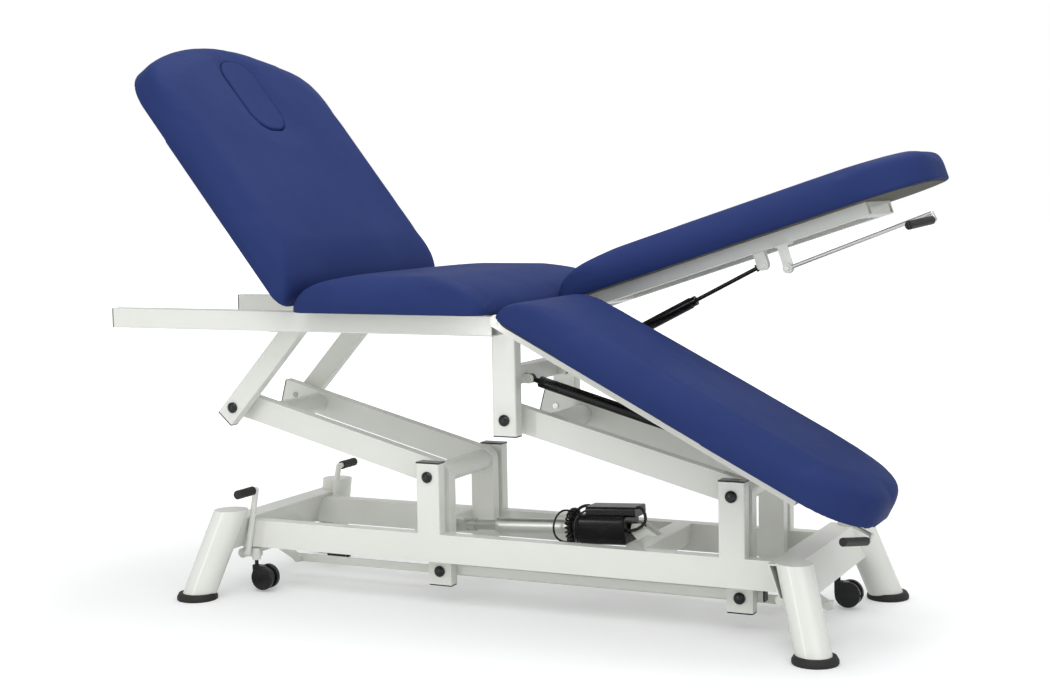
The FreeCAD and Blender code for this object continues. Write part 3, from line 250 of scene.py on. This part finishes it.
def makeCapPlastic(grainGroup):
    # Satin black caps; the part of each bolt between the tubes, near the middle plane, is zinc-plated steel.
    material, nodes, links, shader = nodeMaterial("capPlastic")
    cloud = cloudNoise(nodes, links, plasticSettings["cloudScale"])
    black = mixColours(nodes, links, cloud, plasticSettings["colour"], plasticSettings["worn"])
    place = nodes.new("ShaderNodeTexCoord")
    split = nodes.new("ShaderNodeSeparateXYZ")
    links.new(place.outputs["Object"], split.inputs["Vector"])
    away = nodes.new("ShaderNodeMath")
    away.operation = "ABSOLUTE"
    links.new(split.outputs["Y"], away.inputs[0])
    inside = nodes.new("ShaderNodeMath")
    inside.operation = "LESS_THAN"
    inside.inputs[1].default_value = plasticSettings["steelInside"]
    links.new(away.outputs["Value"], inside.inputs[0])
    mix = nodes.new("ShaderNodeMix")
    mix.data_type = "RGBA"
    links.new(inside.outputs["Value"], mix.inputs["Factor"])
    links.new(black, mix.inputs["A"])
    mix.inputs["B"].default_value = plasticSettings["steel"]
    links.new(mix.outputs["Result"], shader.inputs["Base Color"])
    links.new(inside.outputs["Value"], shader.inputs["Metallic"])
    roughFrom(nodes, links, shader, cloud, plasticSettings)
    addGrain(nodes, links, shader, grainGroup, plasticSettings["grain"])
    return material


def makeBlackPlastic(grainGroup):
    # Plain black plastic of caps, grips, wheels and the curly cable.
    material, nodes, links, shader = nodeMaterial("blackPlastic")
    cloud = cloudNoise(nodes, links, plasticSettings["cloudScale"])
    links.new(mixColours(nodes, links, cloud, plasticSettings["colour"], plasticSettings["worn"]),
              shader.inputs["Base Color"])
    roughFrom(nodes, links, shader, cloud, plasticSettings)
    addGrain(nodes, links, shader, grainGroup, plasticSettings["grain"])
    return material


rubberSettings = {
    "cloudScale": 45.0,
    "cloudDetail": 5.0,
    "colour": linearColour(24, 24, 25),
    "dust": linearColour(46, 45, 43),
    "roughLow": 0.6,
    "roughHigh": 0.8,
    "grain": {"Scale": 900.0, "Distortion": 0.3, "Strength": 0.3, "Depth": 0.0006},
}


def makeBlackRubber(grainGroup):
    # Dull rubber of the foot rings, with a little dust in its tone.
    material, nodes, links, shader = nodeMaterial("blackRubber")
    cloud = cloudNoise(nodes, links, rubberSettings["cloudScale"], rubberSettings["cloudDetail"])
    links.new(mixColours(nodes, links, cloud, rubberSettings["colour"], rubberSettings["dust"]),
              shader.inputs["Base Color"])
    roughFrom(nodes, links, shader, cloud, rubberSettings)
    addGrain(nodes, links, shader, grainGroup, rubberSettings["grain"])
    return material


leverSettings = {
    "rod": linearColour(214, 216, 212),
    "grip": linearColour(18, 18, 20),
    "rodMetal": 0.9,
    "rough": 0.32,
    "ribs": 190.0,
    "ribStrength": 0.6,
    "ribDepth": 0.0008,
    "frontGripFrom": -0.0615,
    "rearGripFrom": 0.0385,
}


def makeLever(name, gripSide, grainGroup):
    # zinc-plated rod; the part nearer than gripSide is the ribbed black grip
    material, nodes, links, shader = nodeMaterial(name)
    place = nodes.new("ShaderNodeTexCoord")
    split = nodes.new("ShaderNodeSeparateXYZ")
    links.new(place.outputs["Object"], split.inputs["Vector"])
    grip = nodes.new("ShaderNodeMath")
    grip.operation = "LESS_THAN"
    grip.inputs[1].default_value = gripSide
    links.new(split.outputs["Y"], grip.inputs[0])
    links.new(mixColours(nodes, links, grip.outputs["Value"], leverSettings["rod"], leverSettings["grip"]),
              shader.inputs["Base Color"])
    metal = valueRange(nodes, links, grip.outputs["Value"], 0.0, 1.0, leverSettings["rodMetal"], 0.0)
    links.new(metal, shader.inputs["Metallic"])
    shader.inputs["Roughness"].default_value = leverSettings["rough"]
    ribs = nodes.new("ShaderNodeTexWave")
    ribs.bands_direction = "Y"
    ribs.inputs["Scale"].default_value = leverSettings["ribs"]
    links.new(place.outputs["Object"], ribs.inputs["Vector"])
    depth = nodes.new("ShaderNodeMath")
    depth.operation = "MULTIPLY"
    links.new(ribs.outputs["Fac"], depth.inputs[0])
    links.new(grip.outputs["Value"], depth.inputs[1])
    grain = addGrain(nodes, links, shader, grainGroup, plasticSettings["grain"])
    bump = nodes.new("ShaderNodeBump")
    bump.inputs["Strength"].default_value = leverSettings["ribStrength"]
    bump.inputs["Distance"].default_value = leverSettings["ribDepth"]
    links.new(depth.outputs["Value"], bump.inputs["Height"])
    links.new(grain.outputs["Normal"], bump.inputs["Normal"])
    links.new(bump.outputs["Normal"], shader.inputs["Normal"])
    return material


enamelSettings = {
    "cloudScale": 20.0,
    "gloss": 0.25,
    "coat": 0.12,
    "coatRough": 0.08,
    "colour": linearColour(8, 8, 9),
    "shade": linearColour(16, 16, 17),
    "roughLow": 0.20,
    "roughHigh": 0.30,
    "grain": {"Scale": 300.0, "Distortion": 0.2, "Strength": 0.05, "Depth": 0.0008},
}


def makeGlossBlack(grainGroup):
    # Glossy black of the motor housing and the gas spring cylinders.
    material, nodes, links, shader = nodeMaterial("glossBlack")
    cloud = cloudNoise(nodes, links, enamelSettings["cloudScale"])
    links.new(mixColours(nodes, links, cloud, enamelSettings["colour"], enamelSettings["shade"]),
              shader.inputs["Base Color"])
    roughFrom(nodes, links, shader, cloud, enamelSettings)
    shader.inputs["Specular IOR Level"].default_value = enamelSettings["gloss"]
    shader.inputs["Coat Weight"].default_value = enamelSettings["coat"]
    shader.inputs["Coat Roughness"].default_value = enamelSettings["coatRough"]
    addGrain(nodes, links, shader, grainGroup, enamelSettings["grain"])
    return material


metalSettings = {
    "aluminium": linearColour(226, 228, 222),
    "steel": linearColour(206, 207, 203),
    "stretch": (6.0, 1.0, 1.0),
    "streakScale": 260.0,
    "streakDetail": 2.0,
    "streakStrength": 0.08,
    "streakDepth": 0.0003,
    "roughLow": 0.34,
    "roughHigh": 0.48,
}


def makeMetal(name, colour):
    # Drawn or ground metal with fine streaks across its length.
    material, nodes, links, shader = nodeMaterial(name)
    shader.inputs["Metallic"].default_value = 1.0
    shader.inputs["Base Color"].default_value = colour
    place = nodes.new("ShaderNodeTexCoord")
    stretch = nodes.new("ShaderNodeMapping")
    stretch.inputs["Scale"].default_value = metalSettings["stretch"]
    links.new(place.outputs["Object"], stretch.inputs["Vector"])
    streaks = nodes.new("ShaderNodeTexNoise")
    streaks.inputs["Scale"].default_value = metalSettings["streakScale"]
    streaks.inputs["Detail"].default_value = metalSettings["streakDetail"]
    links.new(stretch.outputs["Vector"], streaks.inputs["Vector"])
    roughFrom(nodes, links, shader, streaks.outputs["Fac"], metalSettings)
    bump = nodes.new("ShaderNodeBump")
    bump.inputs["Strength"].default_value = metalSettings["streakStrength"]
    bump.inputs["Distance"].default_value = metalSettings["streakDepth"]
    links.new(streaks.outputs["Fac"], bump.inputs["Height"])
    links.new(bump.outputs["Normal"], shader.inputs["Normal"])
    return material


boardSettings = {
    "light": linearColour(84, 83, 68),
    "dark": linearColour(62, 61, 50),
    "stretch": (0.12, 1.0, 1.0),
    "ringScale": 26.0,
    "ringDetail": 6.0,
    "ringTwist": 0.5,
    "ringStrength": 0.2,
    "ringDepth": 0.0006,
    "rough": 0.7,
}


def makeBoard():
    # Plain plywood underside: stretched grain lines.
    material, nodes, links, shader = nodeMaterial("boardWood")
    place = nodes.new("ShaderNodeTexCoord")
    stretch = nodes.new("ShaderNodeMapping")
    stretch.inputs["Scale"].default_value = boardSettings["stretch"]
    links.new(place.outputs["Object"], stretch.inputs["Vector"])
    rings = nodes.new("ShaderNodeTexNoise")
    rings.inputs["Scale"].default_value = boardSettings["ringScale"]
    rings.inputs["Detail"].default_value = boardSettings["ringDetail"]
    rings.inputs["Distortion"].default_value = boardSettings["ringTwist"]
    links.new(stretch.outputs["Vector"], rings.inputs["Vector"])
    tone = mixColours(nodes, links, rings.outputs["Fac"], boardSettings["light"], boardSettings["dark"])
    links.new(tone, shader.inputs["Base Color"])
    shader.inputs["Roughness"].default_value = boardSettings["rough"]
    bump = nodes.new("ShaderNodeBump")
    bump.inputs["Strength"].default_value = boardSettings["ringStrength"]
    bump.inputs["Distance"].default_value = boardSettings["ringDepth"]
    links.new(rings.outputs["Fac"], bump.inputs["Height"])
    links.new(bump.outputs["Normal"], shader.inputs["Normal"])
    return material


print("making the finishes")
grainGroup = makeGrainGroup()
vinyl = makeBlueVinyl()
finishes = {
    "white_paint": makeWhitePaint(grainGroup),
    "black_plastic": makeBlackPlastic(grainGroup),
    "black_rubber": makeBlackRubber(grainGroup),
    "motor_black": makeGlossBlack(grainGroup),
    "actuator_metal": makeMetal("satinAluminium", metalSettings["aluminium"]),
    "steel_rod": makeMetal("groundSteel", metalSettings["steel"]),
    "blue_vinyl": vinyl,
    "board_wood": makeBoard(),
}
finishes["spring_black"] = finishes["motor_black"]
cappedNodes = ("post_caps_and_bolts", "top_caps_and_bolts")
capPlastic = makeCapPlastic(grainGroup)

leverFinishes = {
    "release_lever_front": makeLever("leverFront", leverSettings["frontGripFrom"], grainGroup),
    "release_lever_rear": makeLever("leverRear", leverSettings["rearGripFrom"], grainGroup),
}


def finishOf(part):
    name = part["node"]
    if name in cappedNodes:
        return capPlastic
    if name in leverFinishes:
        return leverFinishes[name]
    if "gas_rod" in name:
        return finishes["spring_black"]
    return finishes[part["material_slot"]]


for part in frame["record"]["subparts"]:
    node = frame["nodes"][part["node"]]
    finish = finishOf(part)
    for slot in node.material_slots:
        slot.material = finish


# Upholstery

cushionSettings = {
    "voxel": 0.004,
    "edgeRounds": 90,
    "plainRounds": 5,
    "softFrom": 0.010,
    "softTo": 0.034,
    "pressure": 4.0,
    "frames": 14,
    "mass": 0.4,
    "stretchStiffness": 25,
    "shearStiffness": 12,
    "bendStiffness": 1.5,
    "rimKeep": 0.006,
    "rimBlend": 0.03,
    "cap": 0.007,
    "afterRounds": 16,
    "heldDepth": 0.006,
    "fill": 0.85,
}


def copyOfNode(nodeName, pieceName):
    # new object with its own copy of a frame node's mesh
    source = frame["nodes"][nodeName]
    mesh = source.data.copy()
    mesh.transform(source.matrix_world)
    piece = bpy.data.objects.new(pieceName, mesh)
    bpy.context.scene.collection.objects.link(piece)
    mesh.materials.clear()
    mesh.materials.append(vinyl)
    return piece


def remesh(piece, size):
    grid = piece.modifiers.new("remesh", "REMESH")
    grid.mode = "VOXEL"
    grid.voxel_size = size
    grid.use_smooth_shade = True
    applyModifiers(piece)


def smooth(piece, rounds, groupName=""):
    even = piece.modifiers.new("even", "SMOOTH")
    even.factor = 0.5
    even.iterations = rounds
    even.vertex_group = groupName
    applyModifiers(piece)


def holdGroup(piece, name, weights):
    group = piece.vertex_groups.new(name=name)
    for index, weight in enumerate(weights):
        if weight > 0.0:
            group.add([index], weight, "REPLACE")
    return group


def softWeights(piece, hole):
    # the upper part of a pad is soft; its lower edge and the rim of the face hole stay as they are
    low = min(vertex.co.z for vertex in piece.data.vertices)
    start, stop = cushionSettings["softFrom"], cushionSettings["softTo"]
    weights = []
    for vertex in piece.data.vertices:
        weight = min(max((vertex.co.z - low - start) / (stop - start), 0.0), 1.0)
        if hole:
            weight *= distanceWeight(vertex.co, hole)
        weights.append(weight)
    return weights


def distanceWeight(place, hole):
    # 0 beside the hole, rising to 1 over the blend distance
    centre, half = hole
    away = math.hypot(max(abs(place.x - centre.x) - half.x, 0.0), max(abs(place.y - centre.y) - half.y, 0.0))
    return min(max((away - cushionSettings["rimKeep"]) / cushionSettings["rimBlend"], 0.0), 1.0)


def inflate(piece):
    # swells the pad like cloth under pressure, with its underside held, and limits how far a point may go
    edge = min(vertex.co.z for vertex in piece.data.vertices) + cushionSettings["heldDepth"]
    held = [1.0 if vertex.co.z < edge else 0.0 for vertex in piece.data.vertices]
    holdGroup(piece, "held", held)
    before = [vertex.co.copy() for vertex in piece.data.vertices]
    cloth = piece.modifiers.new("cloth", "CLOTH")
    cloth.settings.quality = 4
    cloth.settings.mass = cushionSettings["mass"]
    cloth.settings.tension_stiffness = cushionSettings["stretchStiffness"]
    cloth.settings.compression_stiffness = cushionSettings["stretchStiffness"]
    cloth.settings.shear_stiffness = cushionSettings["shearStiffness"]
    cloth.settings.bending_stiffness = cushionSettings["bendStiffness"]
    cloth.settings.use_pressure = True
    cloth.settings.uniform_pressure_force = cushionSettings["pressure"]
    cloth.settings.vertex_group_mass = "held"
    cloth.settings.effector_weights.gravity = 0.0
    cloth.point_cache.frame_start = 1
    cloth.point_cache.frame_end = cushionSettings["frames"]
    scene = bpy.context.scene
    for step in range(1, cushionSettings["frames"] + 1):
        scene.frame_set(step)
    applyModifiers(piece)
    scene.frame_set(1)
    moves = [vertex.co - start for vertex, start in zip(piece.data.vertices, before)]
    print("moved at most", round(max(move.length for move in moves) * 1000, 2), "mm")
    for vertex, start, move in zip(piece.data.vertices, before, moves):
        if move.length > cushionSettings["cap"]:
            vertex.co = start + move * (cushionSettings["cap"] / move.length)


def outwardOf(boardName):
    # direction from a board to its pad: the board is flat, so this is the normal of its large faces
    total = Vector((0.0, 0.0, 0.0))
    for polygon in frame["nodes"][boardName].data.polygons:
        normal = polygon.normal
        if abs(normal.y) < 0.1 and normal.z > 0.3:
            total += normal * polygon.area
    return total.normalized()


def makeCushion(nodeName, boardName, body, pieceName):
    # upholstered pad in the place of its plain solid, shaped lying flat and turned back afterwards
    piece = copyOfNode(nodeName, pieceName)
    outward = outwardOf(boardName)
    lay = Matrix.Rotation(-math.atan2(outward.x, outward.z), 4, "Y")
    piece.data.transform(lay)
    remesh(piece, cushionSettings["voxel"])
    hole = faceHole(lay) if nodeName == "backrest_cushion" else None
    smooth(piece, cushionSettings["plainRounds"])
    holdGroup(piece, "soft", softWeights(piece, hole))
    smooth(piece, cushionSettings["edgeRounds"], "soft")
    inflate(piece)
    smooth(piece, cushionSettings["afterRounds"], "soft")
    piece.vertex_groups.clear()
    piece.data.transform(lay.inverted())
    selectOnly(piece)
    bpy.ops.object.shade_smooth()
    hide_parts(nodeName)
    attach(piece, body)
    return piece


def faceHole(lay):
    # centre and half size of the face hole in the flat pose, from its plug
    points = [lay @ (frame["nodes"]["face_plug"].matrix_world @ vertex.co)
              for vertex in frame["nodes"]["face_plug"].data.vertices]
    low = Vector([min(point[axis] for point in points) for axis in range(3)])
    high = Vector([max(point[axis] for point in points) for axis in range(3)])
    return (low + high) / 2, (high - low) / 2


cushions = (
    ("seat_cushion", "seat_board", "top_frame", "seatPad"),
    ("backrest_cushion", "backrest_board", "backrest", "backrestPad"),
    ("leg_cushion_front", "leg_board_front", "leg_front", "legPadFront"),
    ("leg_cushion_rear", "leg_board_rear", "leg_rear", "legPadRear"),
)
print("making the cushions")
for cushionName, boardName, body, pieceName in cushions:
    makeCushion(cushionName, boardName, body, pieceName)
    print("made", pieceName)

plugSettings = {"voxel": 0.003, "rounds": 6, "fill": 0.9}


def makeFacePlug():
    # removable plug of the face hole, softened along its edge
    piece = copyOfNode("face_plug", "facePlugPad")
    outward = outwardOf("backrest_board")
    lay = Matrix.Rotation(-math.atan2(outward.x, outward.z), 4, "Y")
    piece.data.transform(lay)
    remesh(piece, plugSettings["voxel"])
    smooth(piece, plugSettings["rounds"])
    piece.data.transform(lay.inverted())
    selectOnly(piece)
    bpy.ops.object.shade_smooth()
    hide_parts("face_plug")
    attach(piece, "face_plug")


makeFacePlug()


# Curly cable beside the actuator's motor

# the rear pin of the actuator, its direction along the rod, and its own upward direction
actuatorSettings = {
    "pin": Vector((0.2494, 0.0, 0.1577)),
    "axis": Vector((-0.99874, 0.0, -0.0502)),
    "up": Vector((-0.0502, 0.0, 0.99874)),
}

# the ring of curls in metres; the loops' places are millimetres along, to the front and up
curlSettings = {
    "along": 0.1365,
    "ring": 0.0295,
    "winding": 0.0062,
    "wire": 0.0021,
    "windings": 22,
    "pointsEach": 9,
    "roundSteps": 2,
    "lengthSteps": 4,
    "loopWire": 0.0021,
    "farLoop": ((138, 6, 31), (149, 14, 37), (161, 27, 27), (167, 35, 5), (164, 32, -17), (152, 18, -30),
                (138, 6, -29)),
    "nearLoop": ((131, 8, -29), (122, 28, -27), (116, 45, -8), (116, 46, 12), (112, 38, 30), (96, 22, 38)),
}


def actuatorPlace(along, side, up):
    # a place by the actuator's own axis, in metres; side is towards the front
    settings = actuatorSettings
    return settings["pin"] + settings["axis"] * along + settings["up"] * up + Vector((0.0, -side, 0.0))


def makeWire(name, places, radius):
    # round wire along the given places
    curve = bpy.data.curves.new(name, "CURVE")
    curve.dimensions = "3D"
    curve.bevel_depth = radius
    curve.bevel_resolution = curlSettings["roundSteps"]
    curve.resolution_u = curlSettings["lengthSteps"]
    curve.use_fill_caps = True
    spline = curve.splines.new("NURBS")
    spline.points.add(len(places) - 1)
    for point, place in zip(spline.points, places):
        point.co = (*place, 1.0)
    spline.order_u = 3
    spline.use_endpoint_u = True
    wire = bpy.data.objects.new(name, curve)
    bpy.context.scene.collection.objects.link(wire)
    selectOnly(wire)
    bpy.ops.object.convert(target="MESH")
    wire = bpy.context.view_layer.objects.active
    bpy.ops.object.shade_smooth()
    wire.data.materials.append(finishes["black_plastic"])
    return wire


def makeCurl():
    # curly cable wound into a ring that sits over the collar beside the motor
    settings = curlSettings
    places = []
    total = settings["windings"] * settings["pointsEach"]
    for step in range(total + 1):
        turned = 2 * math.pi * step / total
        wind = 2 * math.pi * step / settings["pointsEach"]
        radius = settings["ring"] + settings["winding"] * math.cos(wind)
        along = settings["along"] + settings["winding"] * math.sin(wind)
        places.append(actuatorPlace(along, radius * math.sin(turned), radius * math.cos(turned)))
    finishWire(makeWire("actuatorCurl", places, settings["wire"]))


def finishWire(wire):
    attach(wire, "actuator")


print("winding the cable")
makeCurl()
for loopName in ("farLoop", "nearLoop"):
    places = [actuatorPlace(*(value / 1000 for value in place)) for place in curlSettings[loopName]]
    finishWire(makeWire(loopName, places, curlSettings["loopWire"]))


# Camera and light

# place in metres, turns in degrees, roll in radians
cameraSettings = {
    "fromSeat": 1.8245,
    "side": -3.1238,
    "height": 0.8189,
    "turn": 25.55,
    "down": 4.64,
    "roll": -0.016,
    "lens": 60.08,
    "shiftX": 0.0064,
    "shiftY": -0.018,
}


def placeCamera():
    # Camera of the photograph, placed from the left end of the seat board.
    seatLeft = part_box("seat_board")[0][0]
    place = (seatLeft + cameraSettings["fromSeat"], cameraSettings["side"], cameraSettings["height"])
    bpy.ops.object.camera_add(location=place)
    camera = bpy.context.object
    look = Euler((math.radians(90 - cameraSettings["down"]), 0.0, math.radians(cameraSettings["turn"])))
    roll = Matrix.Rotation(cameraSettings["roll"], 3, "Z")
    camera.rotation_euler = (look.to_matrix() @ roll).to_euler()
    camera.data.lens = cameraSettings["lens"]
    camera.data.sensor_width = 36.0
    camera.data.shift_x = cameraSettings["shiftX"]
    camera.data.shift_y = cameraSettings["shiftY"]
    camera.data.clip_end = 60.0
    bpy.context.scene.camera = camera


lightSettings = {
    "world": 0.60,
    "lights": (
        {"name": "keyLight", "place": (0.7, -2.6, 3.3), "size": (2.2, 2.2), "power": 34.0},
        {"name": "fillLight", "place": (2.8, -2.4, 2.0), "size": (2.4, 2.4), "power": 22.0},
        {"name": "topLight", "place": (0.2, 0.6, 3.4), "size": (2.6, 2.6), "power": 46.0},
        {"name": "stripLight", "place": (-1.5, -3.4, 0.9), "size": (0.12, 1.8), "power": 14.0},
    ),
    "aim": (0.0, 0.0, 0.55),
    "backdrop": 1.0,
    "floorColour": linearColour(238, 239, 240),
    # camera-only floor glow: the weaker glow near the table is painted shade, the stronger glow far off
    # fades the floor to white
    "floorLiftNearPaintedShade": 0.22,
    "floorLiftFar": 0.75,
    "floorNear": 0.9,
    "floorFar": 3.2,
    "floorSize": 60.0,
}


def makeWorld():
    # White backdrop for the camera, softer light for everything else.
    world = bpy.data.worlds.new("studio")
    bpy.context.scene.world = world
    world.use_nodes = True
    nodes, links = world.node_tree.nodes, world.node_tree.links
    nodes.clear()
    path = nodes.new("ShaderNodeLightPath")
    light = nodes.new("ShaderNodeBackground")
    light.inputs["Color"].default_value = (1.0, 1.0, 1.0, 1.0)
    light.inputs["Strength"].default_value = lightSettings["world"]
    seen = nodes.new("ShaderNodeBackground")
    seen.inputs["Color"].default_value = (1.0, 1.0, 1.0, 1.0)
    seen.inputs["Strength"].default_value = lightSettings["backdrop"]
    mix = nodes.new("ShaderNodeMixShader")
    leave = nodes.new("ShaderNodeOutputWorld")
    links.new(path.outputs["Is Camera Ray"], mix.inputs["Fac"])
    links.new(light.outputs["Background"], mix.inputs[1])
    links.new(seen.outputs["Background"], mix.inputs[2])
    links.new(mix.outputs["Shader"], leave.inputs["Surface"])


def makeLights():
    aim = Vector(lightSettings["aim"])
    for settings in lightSettings["lights"]:
        bpy.ops.object.light_add(type="AREA", location=settings["place"])
        lamp = bpy.context.object
        lamp.name = settings["name"]
        lamp.data.shape = "RECTANGLE"
        lamp.data.size = settings["size"][0]
        lamp.data.size_y = settings["size"][1]
        lamp.data.energy = settings["power"]
        lamp.rotation_euler = (aim - lamp.location).to_track_quat("-Z", "Y").to_euler()


def makeFloor():
    # White studio floor: its colour is lifted only for the camera, so soft shadows stay. The lift is weaker
    # near the table, so the floor around it is painted darker as painted shade.
    bpy.ops.mesh.primitive_plane_add(size=lightSettings["floorSize"], location=(0.0, 0.0, 0.0))
    floor = bpy.context.object
    floor.name = "studioFloor"
    material = bpy.data.materials.new("studioFloor")
    material.use_nodes = True
    nodes, links = material.node_tree.nodes, material.node_tree.links
    nodes.clear()
    path = nodes.new("ShaderNodeLightPath")
    matt = nodes.new("ShaderNodeBsdfDiffuse")
    matt.inputs["Color"].default_value = lightSettings["floorColour"]
    glow = nodes.new("ShaderNodeEmission")
    place = nodes.new("ShaderNodeTexCoord")
    away = nodes.new("ShaderNodeVectorMath")
    away.operation = "LENGTH"
    links.new(place.outputs["Object"], away.inputs[0])
    near, far = lightSettings["floorNear"], lightSettings["floorFar"]
    # glow grows with distance from the table, so the floor close to it stays darker as painted shade
    paintedShadeGlow = valueRange(nodes, links, away.outputs["Value"], near, far,
                         lightSettings["floorLiftNearPaintedShade"], lightSettings["floorLiftFar"])
    lift = nodes.new("ShaderNodeMath")
    lift.operation = "MULTIPLY"
    links.new(paintedShadeGlow, lift.inputs[1])
    both = nodes.new("ShaderNodeAddShader")
    leave = nodes.new("ShaderNodeOutputMaterial")
    links.new(path.outputs["Is Camera Ray"], lift.inputs[0])
    links.new(lift.outputs["Value"], glow.inputs["Strength"])
    links.new(matt.outputs["BSDF"], both.inputs[0])
    links.new(glow.outputs["Emission"], both.inputs[1])
    links.new(both.outputs["Shader"], leave.inputs["Surface"])
    floor.data.materials.append(material)


print("placing the camera and the light")
placeCamera()
makeWorld()
makeLights()
makeFloor()
bpy.context.scene.view_settings.view_transform = "Standard"

print("finishing")
